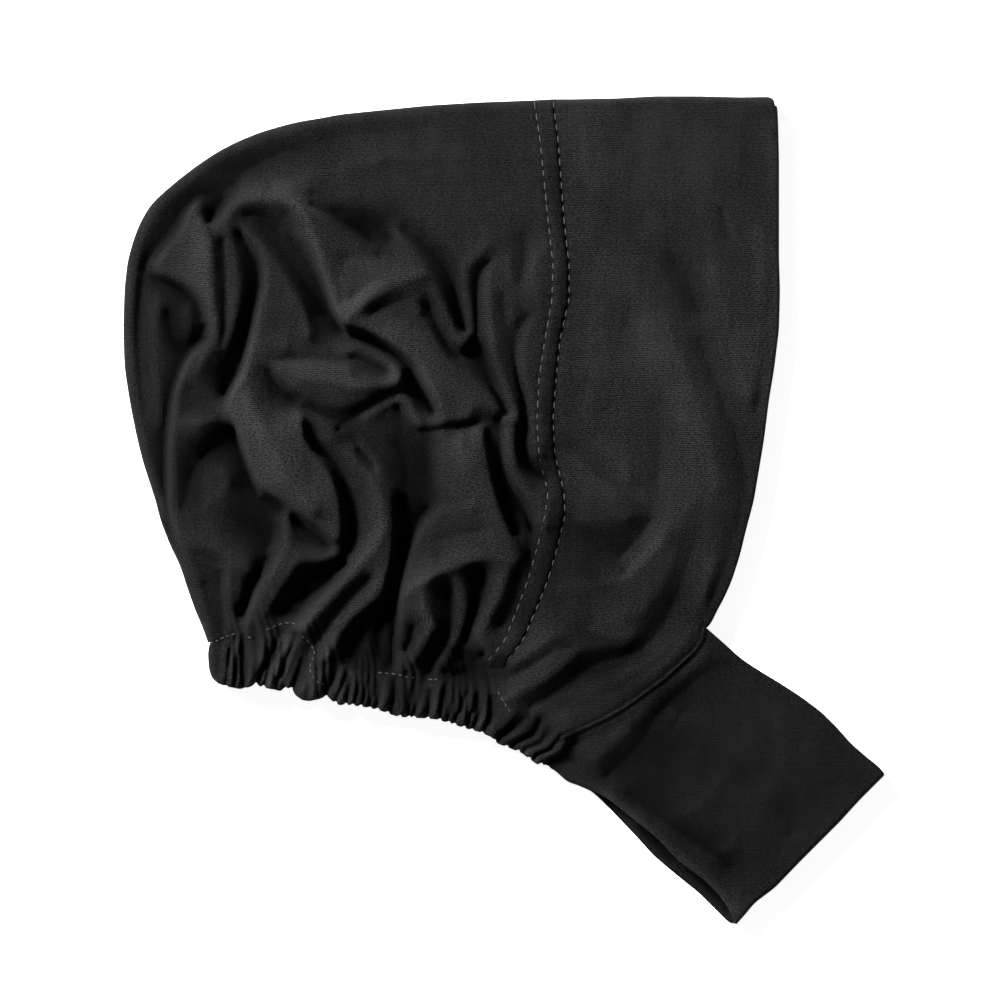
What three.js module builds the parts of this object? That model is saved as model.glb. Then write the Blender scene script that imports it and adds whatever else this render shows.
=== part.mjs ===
// A jersey underscarf cap, lying on its side on a table, pressed flat as it comes out of a drawer.
// Four sewn pieces: a gathered crown, a doubled front band, a gathered elastic casing at the nape and a
// doubled chin strap. Each is one sheet of cloth folded over on itself, so a near layer lies above a
// far layer and the head's hollow stays open between them.
// Millimetres. +X runs to the face, +Y to the top of the head, +Z up from the table.

import * as THREE from 'three';

// The cap's plan as it lies.
const CAP_DEPTH = 222; // back of the crown to the front edge
const CAP_HEIGHT = 203; // top edge down to the nape hem
const BAND_WIDTH = 77; // front edge back to the crown seam
const HEM_DEPTH = 15; // nape casing, from its stitch line to its edge
const STRAP_LENGTH = 79; // strap seam to the end fold
const STRAP_WIDTH = 71.5; // along the end fold
const STRAP_SLOPE = 38; // degrees that the strap falls below the horizontal
const STRAP_SKEW = 7; // degrees that the end fold is off square to the strap
const STRAP_BOW = 2; // its face edge's swell past straight

// Cloth thicknesses, and how high each stretch stands above the table.
const JERSEY = 1.3; // single jersey of the crown, as bulky as it lies
const DOUBLE_JERSEY = 1.6; // the two plies of the band
const STRAP_CLOTH = 1.5; // the two plies of the strap
const EDGE_LOFT = 8.8; // the folded edge at the top and back, and the band
const CROWN_LOFT = 22; // the crown's highest folds
const STRAP_LOFT = 8.4;
const CASING_BULK = 5.2; // bunched cloth round the elastic, in each layer
const NECK_GAP = 4.9; // between the two layers of the casing
const RUFFLE_PITCH = 4.1;
const RUFFLE_RISE = 1.3;
const PLEAT_PITCH = 9.6; // gathers of the crown above the casing
const PLEAT_RISE = 1.7; // either way from the middle
const PLEAT_START = 5; // from the casing to a pleat's full height
const PLEAT_REACH = 30; // and to where it has died away
const SEAM_GAP = 0.3; // where two pieces are sewn together
const HEM_GAP = 0.6; // where the casing is sewn on
const NAPE_GAP = 3; // the crown's gathers stop this far short of the casing's turn
const NAPE_START = 0.8; // share of the folded edge past which it rises to the casing
const CHEEK_START = 0.5; // share of the band's hem past which it sinks to the strap
const CHEEK_END = 1.4;

// How far each kind of edge draws the near layer to its own height.
const EDGE_REACH = 14; // folded edges of the crown and the band
const HEM_REACH = 20;
const SEAM_REACH = 22; // to either side of the crown seam
const STRAP_REACH = 12;

// How finely the cloth is divided.
const SEAM_ROWS = { far: 4, edge: 6, near: 28 };
const CROWN_GRID = { columns: 40, ...SEAM_ROWS };
const BAND_GRID = { columns: 11, overHem: 4, ...SEAM_ROWS };
const STRAP_GRID = { columns: 9, overHem: 2, far: 4, edge: 6, near: 11 };
const CASING_GRID = { far: 16, turn: 8, perRuffle: 4 };

// Plan curves. u is a share of CAP_DEPTH from the back, v a share of CAP_HEIGHT from the hem.
// The folded edge of the crown, from the seam round the back to the nape.
const CROWN_EDGE = [
  { u: 0.486, v: 0.987 },
  { u: 0.348, v: 0.972 },
  { u: 0.241, v: 0.951 },
  { u: 0.149, v: 0.91 },
  { u: 0.057, v: 0.834 },
  { u: 0.011, v: 0.744 },
  { u: 0, v: 0.635 },
  { u: 0.014, v: 0.468 },
  { u: 0.057, v: 0.293 },
  { u: 0.103, v: 0.176 },
];

// The stitch line of the nape casing, from the strap to the back, with the casing's depth there.
const HEM_LINE = [
  { u: 0.673, v: -0.07, depth: 0.8 },
  { u: 0.624, v: -0.028, depth: 1.1 },
  { u: 0.574, v: 0.005, depth: 1.1 },
  { u: 0.501, v: 0.022, depth: 0.86 },
  { u: 0.425, v: 0.035, depth: 0.95 },
  { u: 0.34, v: 0.058, depth: 1 },
  { u: 0.271, v: 0.078, depth: 1.12 },
  { u: 0.21, v: 0.09, depth: 1.1 },
  { u: 0.165, v: 0.094, depth: 1.08 },
];
const SEAM_ROW = 2; // the row of HEM_LINE where the crown seam comes down

// The crown seam. ahead is a share of BAND_WIDTH towards the face, loft a share of EDGE_LOFT.
const CROWN_SEAM = [
  { v: 0.997, ahead: -0.013, loft: 1 },
  { v: 0.911, ahead: 0.009, loft: 1.02 },
  { v: 0.828, ahead: 0.031, loft: 1.06 },
  { v: 0.711, ahead: 0.057, loft: 1.12 },
  { v: 0.627, ahead: 0.035, loft: 1.15 },
  { v: 0.543, ahead: 0.004, loft: 1.17 },
  { v: 0.46, ahead: -0.013, loft: 1.2 },
  { v: 0.385, ahead: 0, loft: 1.22 },
  { v: 0.334, ahead: 0.035, loft: 1.25 },
  { v: 0.276, ahead: 0.018, loft: 1.28 },
  { v: 0.2, ahead: -0.031, loft: 1.35 },
  { v: 0.1, ahead: -0.123, loft: 1.45 },
];

// The front edge, from the top down to the strap. back is a share of CAP_DEPTH.
const FRONT_EDGE = [
  { v: 0.999, back: 0.008 },
  { v: 0.911, back: 0.001 },
  { v: 0.727, back: 0 },
  { v: 0.594, back: 0.003 },
  { v: 0.518, back: 0.012 },
  { v: 0.376, back: 0.032 },
  { v: 0.251, back: 0.057 },
  { v: 0.159, back: 0.086 },
  { v: 0.099, back: 0.112 },
];

// The curved seam between the band and the strap, from the hem to the front edge.
const STRAP_SEAM = [
  { u: 0.693, v: -0.062 },
  { u: 0.77, v: -0.028 },
  { u: 0.842, v: 0.033 },
];

// Crests and floors of the folds in the near layer of the crown. A fold runs from one end over its
// bend to the other end, and rise is its height above the table as a share of CROWN_LOFT.
const CROWN_FOLDS = [
  { name: 'smooth top', ends: [0.3, 0.9, 0.45, 0.9], bend: [0.38, 0.88], rise: 0.58 },
  { name: 'smooth front', ends: [0.56, 0.93, 0.58, 0.8], bend: [0.5, 0.85], rise: 0.5 },
  { name: 'valley inside the top edge', ends: [0.39, 0.935, 0.05, 0.75], bend: [0.17, 0.9], rise: 0.36 },
  { name: 'valley inside the back edge', ends: [0.035, 0.68, 0.05, 0.4], bend: [0.02, 0.55], rise: 0.38 },
  { name: 'star fold', ends: [0.12, 0.82, 0.14, 0.61], bend: [0.11, 0.73], rise: 0.9 },
  { name: 'star fold, left arm', ends: [0.055, 0.71, 0.12, 0.72], bend: [0.08, 0.72], rise: 0.78 },
  { name: 'star fold, top arm', ends: [0.14, 0.78, 0.26, 0.82], bend: [0.17, 0.83], rise: 0.86 },
  { name: 'back fold', ends: [0.14, 0.61, 0.11, 0.2], bend: [0.05, 0.42], rise: 0.72 },
  { name: 'deep valley by the star', ends: [0.18, 0.77, 0.16, 0.45], bend: [0.19, 0.6], rise: 0.42 },
  { name: 'tall fold, upper edge', ends: [0.215, 0.745, 0.17, 0.49], bend: [0.23, 0.6], rise: 0.88 },
  { name: 'tall fold, lower edge', ends: [0.17, 0.48, 0.33, 0.26], bend: [0.2, 0.33], rise: 0.9 },
  { name: 'tall fold, body', ends: [0.23, 0.48, 0.31, 0.33], bend: [0.26, 0.4], rise: 0.98 },
  { name: 'valley beside the tall fold', ends: [0.29, 0.41, 0.34, 0.26], bend: [0.34, 0.36], rise: 0.42 },
  { name: 'second fold', ends: [0.22, 0.75, 0.3, 0.65], bend: [0.25, 0.7], rise: 0.82 },
  { name: 'valley under the middle fold', ends: [0.23, 0.79, 0.34, 0.6], bend: [0.28, 0.69], rise: 0.46 },
  { name: 'middle fold', ends: [0.27, 0.82, 0.34, 0.61], bend: [0.32, 0.7], rise: 1 },
  { name: 'valley in front of it', ends: [0.3, 0.81, 0.4, 0.75], bend: [0.36, 0.79], rise: 0.5 },
  { name: 'cross fold', ends: [0.34, 0.62, 0.46, 0.69], bend: [0.39, 0.67], rise: 0.93 },
  { name: 'flap', ends: [0.24, 0.54, 0.42, 0.53], bend: [0.33, 0.55], rise: 0.9 },
  { name: 'floor under the flap', ends: [0.27, 0.48, 0.4, 0.49], bend: [0.34, 0.45], rise: 0.48 },
  { name: 'black groove', ends: [0.37, 0.6, 0.475, 0.47], bend: [0.43, 0.56], rise: 0.4 },
  { name: 'centre panel', ends: [0.44, 0.61, 0.55, 0.48], bend: [0.48, 0.5], rise: 0.92 },
  { name: 'lower panel', ends: [0.51, 0.43, 0.52, 0.34], bend: [0.51, 0.38], rise: 0.8 },
  { name: 'curved groove', ends: [0.43, 0.78, 0.52, 0.61], bend: [0.51, 0.72], rise: 0.42 },
  { name: 'groove before the seam', ends: [0.54, 0.69, 0.59, 0.45], bend: [0.53, 0.56], rise: 0.38 },
  { name: 'pillar before the seam', ends: [0.565, 0.72, 0.585, 0.53], bend: [0.56, 0.62], rise: 0.72 },
  { name: 'hollow in the middle', ends: [0.42, 0.44, 0.43, 0.34], bend: [0.42, 0.4], rise: 0.5 },
  { name: 'long fold, upper half', ends: [0.32, 0.46, 0.4, 0.28], bend: [0.42, 0.38], rise: 0.92 },
  { name: 'long fold, lower half', ends: [0.4, 0.28, 0.28, 0.11], bend: [0.4, 0.2], rise: 0.84 },
  { name: 'long valley', ends: [0.43, 0.33, 0.4, 0.08], bend: [0.43, 0.2], rise: 0.38 },
  { name: 'cheek', ends: [0.52, 0.3, 0.58, 0.24], bend: [0.56, 0.28], rise: 0.82 },
  { name: 'pleat a', ends: [0.47, 0.16, 0.45, 0.05], bend: [0.47, 0.1], rise: 0.72 },
  { name: 'valley between a and b', ends: [0.5, 0.15, 0.475, 0.05], bend: [0.5, 0.1], rise: 0.42 },
  { name: 'pleat b', ends: [0.52, 0.17, 0.49, 0.05], bend: [0.53, 0.11], rise: 0.74 },
  { name: 'valley behind the cheek', ends: [0.59, 0.36, 0.6, 0.27], bend: [0.57, 0.32], rise: 0.42 },
  { name: 'arc valley', ends: [0.17, 0.41, 0.1, 0.31], bend: [0.11, 0.41], rise: 0.46 },
  { name: 'mound', ends: [0.13, 0.35, 0.15, 0.33], bend: [0.14, 0.34], rise: 0.64 },
  { name: 'valley under the tall fold', ends: [0.21, 0.29, 0.2, 0.15], bend: [0.23, 0.22], rise: 0.42 },
  { name: 'cup', ends: [0.25, 0.28, 0.19, 0.11], bend: [0.25, 0.18], rise: 0.78 },
  { name: 'black valley by the hem', ends: [0.3, 0.18, 0.25, 0.13], bend: [0.28, 0.16], rise: 0.4 },
  { name: 'first pleat', ends: [0.1, 0.26, 0.16, 0.14], bend: [0.15, 0.24], rise: 0.66 },
];

// The same for the front band, with rise as a share of EDGE_LOFT.
const BAND_FOLDS = [
  { name: 'smooth top', ends: [0.7, 0.95, 0.98, 0.95], bend: [0.85, 0.95], rise: 1 },
  { name: 'soft dip', ends: [0.7, 0.8, 0.82, 0.72], bend: [0.76, 0.76], rise: 0.96 },
  { name: 'front swell', ends: [0.95, 0.75, 0.96, 0.5], bend: [0.96, 0.6], rise: 1.08 },
  { name: 'cheek swell', ends: [0.72, 0.6, 0.74, 0.4], bend: [0.72, 0.5], rise: 1.16 },
  { name: 'long swell', ends: [0.84, 0.65, 0.77, 0.15], bend: [0.88, 0.3], rise: 1.3 },
  { name: 'long dip', ends: [0.93, 0.45, 0.72, 0.06], bend: [0.87, 0.06], rise: 0.9 },
  { name: 'roll above the strap', ends: [0.87, 0.12, 0.72, -0.02], bend: [0.82, 0.02], rise: 1.15 },
  { name: 'hem swell', ends: [0.72, 0.1, 0.64, 0.03], bend: [0.68, 0.08], rise: 1.6 },
];

// The same for the strap, in its own shares: along from the seam to the fold, across from the face
// edge to the neck edge, and rise as a share of STRAP_LOFT.
const STRAP_FOLDS = [
  { name: 'swell by the seam', ends: [0.08, 0.1, 0.12, 0.85], bend: [0.08, 0.5], rise: 1.12 },
  { name: 'crease', ends: [0.17, 0, 0.32, 0.9], bend: [0.2, 0.5], rise: 0.92 },
  { name: 'swell past the crease', ends: [0.45, 0.1, 0.5, 0.6], bend: [0.45, 0.4], rise: 1.1 },
  { name: 'neck edge roll', ends: [0.4, 0.93, 0.9, 0.95], bend: [0.6, 0.95], rise: 1.02 },
  { name: 'dip beside the roll', ends: [0.45, 0.8, 0.9, 0.8], bend: [0.7, 0.8], rise: 0.94 },
  { name: 'flat end', ends: [0.9, 0.1, 0.92, 0.9], bend: [0.9, 0.5], rise: 1 },
];

const FOLD_STEPS = 6; // straight steps along each fold
const FOLD_GRIP = 3.1; // a fold's own half width

// The casing's section: deep is a share of its depth, thick a share of its half thickness, and swell
// how much of a ruffle it takes.
const CASING_SECTION = [
  { deep: 0, thick: -0.7, swell: 0 },
  { deep: 0.5, thick: -1, swell: 0 },
  { deep: 0.85, thick: -0.75, swell: 0 },
  { deep: 1, thick: 0, swell: 0.3 },
  { deep: 0.85, thick: 0.75, swell: 0.8 },
  { deep: 0.5, thick: 1, swell: 1 },
  { deep: 0.2, thick: 1, swell: 0.9 },
  { deep: 0, thick: 0.7, swell: 0 },
];

const { lerp, smoothstep, clamp, degToRad } = THREE.MathUtils;
const at = (u, v) => new THREE.Vector2(u * CAP_DEPTH, v * CAP_HEIGHT);
const heading = (degrees) =>
  new THREE.Vector2(Math.cos(degToRad(degrees)), Math.sin(degToRad(degrees)));

// Height of the near layer at a place, drawn from the folds around it, the nearest the strongest.
function heightField(folds, loft) {
  const lines = folds.map(({ ends: [u0, v0, u1, v1], bend: [ub, vb], rise }) => {
    const path = new THREE.CatmullRomCurve3([
      new THREE.Vector3(u0, v0, 0),
      new THREE.Vector3(ub, vb, 0),
      new THREE.Vector3(u1, v1, 0),
    ]).getPoints(FOLD_STEPS);
    const steps = path.slice(1).map((end, i) => new THREE.Line3(path[i], end));
    return { steps, z: rise * loft };
  });
  const foot = new THREE.Vector3();
  const grip = (FOLD_GRIP / CAP_DEPTH) ** 2;
  return (u, v) => {
    const place = new THREE.Vector3(u, v, 0);
    let sum = 0;
    let weights = 0;
    for (const { steps, z } of lines) {
      const apart = Math.min(
        ...steps.map((step) => step.closestPointToPoint(place, true, foot).distanceToSquared(place)),
      );
      const weight = 1 / (apart + grip) ** 2;
      sum += weight * z;
      weights += weight;
    }
    return sum / weights;
  };
}

const crownHeight = heightField(CROWN_FOLDS, CROWN_LOFT);
const bandHeight = heightField(BAND_FOLDS, EDGE_LOFT);
const strapHeight = heightField(STRAP_FOLDS, STRAP_LOFT);

// Plan curves, each from its hem end to its folded end or from back to front.
const hemPoints = HEM_LINE.map(({ u, v }) => at(u, v));
const seamLoft = CROWN_SEAM[0].loft * EDGE_LOFT;
const casingMiddle = CASING_BULK + NECK_GAP + CASING_BULK / 2; // height of its near layer
const hemHeight = casingMiddle + JERSEY / 2; // top of the crown and the band where they meet it

const seamCurve = new THREE.SplineCurve([
  hemPoints[SEAM_ROW],
  ...CROWN_SEAM.toReversed().map(
    ({ v, ahead }) => new THREE.Vector2(CAP_DEPTH - BAND_WIDTH * (1 - ahead), v * CAP_HEIGHT),
  ),
]);
const frontCurve = new THREE.SplineCurve(
  FRONT_EDGE.toReversed().map(({ v, back }) => at(1 - back, v)),
);
const hemOfCrown = new THREE.SplineCurve(hemPoints.slice(SEAM_ROW));
const hemOfBand = new THREE.SplineCurve(hemPoints.slice(0, SEAM_ROW + 1).toReversed());
const strapSeam = new THREE.SplineCurve([
  hemPoints[0],
  ...STRAP_SEAM.map(({ u, v }) => at(u, v)),
  frontCurve.getPoint(0),
]);

// The casing turns over at the back of the neck, and the crown's folded edge ends round that turn.
const hemEnd = hemOfCrown.getPoint(1);
const hemEndWay = hemOfCrown.getTangent(1);
const turnRadius = hemHeight / 2;
const crownEdge = new THREE.SplineCurve([
  seamCurve.getPoint(1),
  ...CROWN_EDGE.map(({ u, v }) => at(u, v)),
  hemEnd.clone().addScaledVector(hemEndWay, turnRadius),
]);

// Where the crown seam is at a height v, and how high the near layer stands along it.
const seamRows = [
  { v: HEM_LINE[SEAM_ROW].v, x: hemPoints[SEAM_ROW].x, z: hemHeight },
  ...CROWN_SEAM.toReversed().map(({ v, ahead, loft }) => ({
    v,
    x: CAP_DEPTH - BAND_WIDTH * (1 - ahead),
    z: EDGE_LOFT * loft,
  })),
];
function alongSeam(v, key) {
  const above = Math.max(1, seamRows.findIndex((row) => row.v >= v));
  const [low, high] = v > seamRows.at(-1).v ? seamRows.slice(-2) : seamRows.slice(above - 1, above + 1);
  return lerp(low[key], high[key], clamp((v - low.v) / (high.v - low.v), 0, 1));
}
const seamX = (v) => alongSeam(v, 'x');
const seamHeight = (v) => alongSeam(v, 'z');

// Rows of a folded sheet, from the far layer's hem round the folded edge to the near layer's hem.
// Each row is a distance in from the edge, as a share of what is left past the roll, or an angle
// round the roll.
function sheetRows({ far, edge, near }) {
  const rows = [];
  for (let i = 0; i < far; i++) rows.push({ far: true, share: 1 - i / far });
  for (let i = 0; i <= edge; i++) rows.push({ angle: Math.PI * (i / edge - 0.5) });
  for (let i = 1; i <= near; i++) rows.push({ far: false, share: i / near });
  return rows;
}

// The outer skin of a folded sheet: a grid of points, column by column. place gives the plan point of
// a column at a share t of the way from its hem to the folded edge. near gives the near layer's
// height at such a point, from its distances to the hem and to the roll at the folded edge.
function outerSkin({ grid, length, place, edgeLoft, near }) {
  const rows = sheetRows(grid);
  return Array.from({ length: grid.columns + 1 }, (_, column) => {
    const c = column / grid.columns;
    const whole = length(c);
    const half = edgeLoft(c) / 2;
    return rows.map((row) => {
      const onRoll = row.angle !== undefined;
      const inward = half + (onRoll ? -half * Math.cos(row.angle) : row.share * (whole - half));
      const t = 1 - inward / whole;
      const p = place(c, t);
      let z = onRoll ? half * (1 + Math.sin(row.angle)) : 0;
      if (!onRoll && !row.far) z = near({ c, t, p, fromHem: whole - inward, fromRoll: inward - half });
      return new THREE.Vector3(p.x, p.y, z);
    });
  });
}

// Unit normals of a grid of points. At the sheet's cut edges the part that leans out of the seam is
// taken away, so that the wall's cut face stands upright and its neighbour can meet it.
function skinNormals(grid) {
  const columns = grid.length - 1;
  const last = grid[0].length - 1;
  return grid.map((line, c) =>
    line.map((_, r) => {
      const along = grid[c][Math.min(r + 1, last)].clone().sub(grid[c][Math.max(r - 1, 0)]);
      const across = grid[Math.min(c + 1, columns)][r].clone().sub(grid[Math.max(c - 1, 0)][r]);
      const normal = across.clone().cross(along).normalize();
      const cutFaces = [];
      if (c === 0 || c === columns) {
        const turn = Math.hypot(along.x, along.y) < 1e-3;
        const local = turn ? line[r].clone().sub(line[last]) : along;
        cutFaces.push(new THREE.Vector3(-local.y, local.x, 0).normalize());
      }
      if (r === 0 || r === last) cutFaces.push(new THREE.Vector3(-across.y, across.x, 0).normalize());
      for (const face of cutFaces) normal.addScaledVector(face, -normal.dot(face)).normalize();
      return normal;
    }),
  );
}

// A closed wall between an outer skin and the same skin moved inwards by the cloth's thickness.
function sheetGeometry(outer, thickness) {
  const normals = skinNormals(outer);
  const inner = outer.map((line, c) =>
    line.map((p, r) => p.clone().addScaledVector(normals[c][r], -thickness)),
  );
  const columns = outer.length - 1;
  const last = outer[0].length - 1;
  const triangles = [];
  // Each four-cornered patch is split along its shorter diagonal, so that folds run unbroken.
  const quad = (a, b, c, d) => {
    if (a.distanceToSquared(c) <= b.distanceToSquared(d)) triangles.push(a, b, c, a, c, d);
    else triangles.push(a, b, d, b, c, d);
  };
  for (let c = 0; c < columns; c++) {
    for (let r = 0; r < last; r++) {
      quad(outer[c][r], outer[c + 1][r], outer[c + 1][r + 1], outer[c][r + 1]);
      quad(inner[c][r], inner[c][r + 1], inner[c + 1][r + 1], inner[c + 1][r]);
    }
    quad(outer[c][0], inner[c][0], inner[c + 1][0], outer[c + 1][0]);
    quad(outer[c][last], outer[c + 1][last], inner[c + 1][last], inner[c][last]);
  }
  for (let r = 0; r < last; r++) {
    quad(outer[0][r], outer[0][r + 1], inner[0][r + 1], inner[0][r]);
    quad(outer[columns][r], inner[columns][r], inner[columns][r + 1], outer[columns][r + 1]);
  }
  return new THREE.BufferGeometry().setFromPoints(triangles);
}

// A plan point between a base curve and an edge curve that also keeps to its side curves. t is 0 at
// the base and 1 at the folded edge.
function patch({ base, edge, left, right }) {
  const bow = (side, t) =>
    side ? side(t).clone().sub(side(0).clone().lerp(side(1), t)) : new THREE.Vector2();
  return (c, t) =>
    base(c)
      .clone()
      .lerp(edge(c), t)
      .addScaledVector(bow(left, t), 1 - c)
      .addScaledVector(bow(right, t), c);
}

// The crown: one panel from ear to ear, folded at the top and back of the head and gathered into the
// casing. Columns fan out from the hem to the folded edge, starting along the seam.
function crownGeometry() {
  const gathered = 1 - NAPE_GAP / hemOfCrown.getLength();
  const base = (c) => hemOfCrown.getPointAt(c * gathered);
  const edge = (c) => crownEdge.getPointAt(c);
  const plan = patch({ base, edge, left: (t) => seamCurve.getPoint(t) });
  const shift = new THREE.Vector2(-SEAM_GAP / 2, 0);
  const place = (c, t) => plan(c, t).addScaledVector(shift, 1 - c);
  const edgeLoft = (c) => lerp(seamLoft, hemHeight, smoothstep(c, NAPE_START, 1));
  const pleats = Math.round(hemOfCrown.getLength() / PLEAT_PITCH);
  const near = ({ c, p, fromHem, fromRoll }) => {
    const u = p.x / CAP_DEPTH;
    const v = p.y / CAP_HEIGHT;
    const fade = smoothstep(fromHem, 0, PLEAT_START) * (1 - smoothstep(fromHem, PLEAT_START, PLEAT_REACH));
    const pleat = PLEAT_RISE * fade * Math.sin(2 * Math.PI * pleats * c);
    const inside = lerp(hemHeight, crownHeight(u, v), smoothstep(fromHem, 0, HEM_REACH)) + pleat;
    const fromSeam = seamX(v) - p.x;
    const withSeam = lerp(seamHeight(v), inside, smoothstep(fromSeam, 0, SEAM_REACH));
    return lerp(edgeLoft(c), withSeam, smoothstep(fromRoll, 0, EDGE_REACH));
  };
  const length = (c) => base(c).distanceTo(edge(c));
  const skin = outerSkin({ grid: CROWN_GRID, length, place, edgeLoft, near });
  return sheetGeometry(skin, JERSEY);
}

// The front band: a doubled panel that frames the face, folded at the top of the head. Its foot is
// gathered into the casing as far as the strap, and sewn to the strap from there to the front edge.
function bandGeometry() {
  const split = BAND_GRID.overHem / BAND_GRID.columns;
  const topEdge = new THREE.LineCurve(seamCurve.getPoint(1), frontCurve.getPoint(1));
  const base = (c) =>
    c < split ? hemOfBand.getPointAt(c / split) : strapSeam.getPointAt((c - split) / (1 - split));
  const edge = (c) => topEdge.getPoint(c);
  const plan = patch({
    base,
    edge,
    left: (t) => seamCurve.getPoint(t),
    right: (t) => frontCurve.getPoint(t),
  });
  const shift = new THREE.Vector2(SEAM_GAP / 2, 0);
  const place = (c, t) => plan(c, t).addScaledVector(shift, 1 - c);
  const edgeLoft = (c) => lerp(seamLoft, EDGE_LOFT, c);
  const near = ({ c, p, fromHem, fromRoll }) => {
    const u = p.x / CAP_DEPTH;
    const v = p.y / CAP_HEIGHT;
    const foot = lerp(hemHeight, EDGE_LOFT, smoothstep(c / split, CHEEK_START, CHEEK_END));
    const inside = lerp(foot, bandHeight(u, v), smoothstep(fromHem, 0, HEM_REACH));
    const fromSeam = p.x - seamX(v);
    const withSeam = lerp(seamHeight(v), inside, smoothstep(fromSeam, 0, SEAM_REACH));
    return lerp(edgeLoft(c), withSeam, smoothstep(fromRoll, 0, EDGE_REACH));
  };
  const length = (c) => base(c).distanceTo(edge(c));
  const skin = outerSkin({ grid: BAND_GRID, length, place, edgeLoft, near });
  return sheetGeometry(skin.toReversed(), DOUBLE_JERSEY);
}

// The chin strap: a doubled panel that passes under the chin, lying folded across its middle.
function strapGeometry() {
  const split = STRAP_GRID.overHem / STRAP_GRID.columns;
  const way = heading(-STRAP_SLOPE);
  const aside = heading(90 - STRAP_SLOPE - STRAP_SKEW);
  const hemWay = hemOfBand.getTangent(1);
  const neckCorner = hemPoints[0]
    .clone()
    .add(new THREE.Vector2(hemWay.y, -hemWay.x).multiplyScalar(HEM_LINE[0].depth * HEM_DEPTH));
  const corner = new THREE.LineCurve(neckCorner, hemPoints[0]);
  const base = (c) =>
    (c < split ? corner.getPoint(c / split) : strapSeam.getPointAt((c - split) / (1 - split)))
      .clone()
      .addScaledVector(way, SEAM_GAP);
  const foldMiddle = strapSeam.getPoint(0.5).clone().addScaledVector(way, STRAP_LENGTH);
  const edge = (c) => foldMiddle.clone().addScaledVector(aside, STRAP_WIDTH * (c - 0.5));
  const faceEdge = (t) =>
    base(1).lerp(edge(1), t).addScaledVector(aside, STRAP_BOW * Math.sin(Math.PI * t));
  const plan = patch({ base, edge, right: faceEdge });
  const length = (c) => base(c).distanceTo(edge(c));
  const near = ({ c, t, fromHem, fromRoll }) => {
    const inside = lerp(EDGE_LOFT, strapHeight(t, 1 - c), smoothstep(fromHem, 0, STRAP_REACH));
    return lerp(STRAP_LOFT, inside, smoothstep(fromRoll, 0, STRAP_REACH));
  };
  const edgeLoft = () => STRAP_LOFT;
  const skin = outerSkin({ grid: STRAP_GRID, length, place: plan, edgeLoft, near });
  return sheetGeometry(skin, STRAP_CLOTH);
}

// The nape casing: the turned hem round its elastic, drawn up in ruffles. One roll runs along the
// far layer, turns over at the back of the neck and comes back along the near layer.
function casingGeometry() {
  const wholeHem = new THREE.SplineCurve(hemPoints);
  const depths = new THREE.SplineCurve(HEM_LINE.map(({ depth }, i) => new THREE.Vector2(i, depth)));
  const half = CASING_BULK / 2;
  const centreRadius = half + NECK_GAP / 2;
  const ruffles = Math.round(wholeHem.getLength() / RUFFLE_PITCH);
  const { far, turn, perRuffle } = CASING_GRID;
  const nearSteps = ruffles * perRuffle;
  // Each station: its place on the hem, how far it lies out past the hem's end, its height, the lean
  // of its thickness, and how much of a ruffle stands there.
  const stations = [];
  for (let i = 0; i < far; i++) {
    stations.push({ t: i / far, out: 0, z: half, lean: -Math.PI / 2, ruffle: 0 });
  }
  for (let i = 0; i <= turn; i++) {
    const lean = Math.PI * (i / turn - 0.5);
    const out = centreRadius * Math.cos(lean);
    stations.push({ t: 1, out, z: half + centreRadius * (1 + Math.sin(lean)), lean, ruffle: 0 });
  }
  for (let i = 1; i <= nearSteps; i++) {
    const ruffle = 0.5 - 0.5 * Math.cos((2 * Math.PI * i) / perRuffle);
    stations.push({ t: 1 - i / nearSteps, out: 0, z: casingMiddle, lean: Math.PI / 2, ruffle });
  }
  const rings = stations.map(({ t, out, z, lean, ruffle }) => {
    const p = wholeHem.getPoint(t);
    const way = wholeHem.getTangent(t);
    const down = new THREE.Vector2(-way.y, way.x);
    const depth = HEM_DEPTH * depths.getPoint(t).y;
    return CASING_SECTION.map(({ deep, thick, swell }) => {
      const rise = swell * ruffle * RUFFLE_RISE;
      const thickness = thick * half + rise;
      const plan = p
        .clone()
        .addScaledVector(down, HEM_GAP + deep * (depth + rise / 2))
        .addScaledVector(way, out + thickness * Math.cos(lean));
      return new THREE.Vector3(plan.x, plan.y, z + thickness * Math.sin(lean));
    });
  });
  const triangles = [];
  const sides = CASING_SECTION.length;
  for (let i = 0; i + 1 < rings.length; i++) {
    for (let s = 0; s < sides; s++) {
      const n = (s + 1) % sides;
      triangles.push(rings[i][s], rings[i + 1][n], rings[i][n]);
      triangles.push(rings[i][s], rings[i + 1][s], rings[i + 1][n]);
    }
  }
  const cap = (ring, turned) => {
    for (let s = 1; s + 1 < sides; s++) {
      triangles.push(ring[0], ...(turned ? [ring[s], ring[s + 1]] : [ring[s + 1], ring[s]]));
    }
  };
  cap(rings[0], true);
  cap(rings.at(-1), false);
  return new THREE.BufferGeometry().setFromPoints(triangles);
}

const blackJersey = () =>
  new THREE.MeshStandardMaterial({ color: 0x1c1c1d, roughness: 0.92, metalness: 0 });

function piece(name, geometry) {
  geometry.computeVertexNormals();
  const mesh = new THREE.Mesh(geometry, blackJersey());
  mesh.name = name;
  return mesh;
}

const cap = new THREE.Group();
cap.add(
  piece('crown', crownGeometry()),
  piece('front_band', bandGeometry()),
  piece('nape_casing', casingGeometry()),
  piece('chin_strap', strapGeometry()),
);

// The origin is on the table under the middle of the cap's outline.
const box = new THREE.Box3().setFromObject(cap);
const middle = box.getCenter(new THREE.Vector3());
cap.position.set(-middle.x, -middle.y, -box.min.z);

export default cap;
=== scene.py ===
import math
import bpy
import numpy as np
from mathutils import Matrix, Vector, geometry


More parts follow.
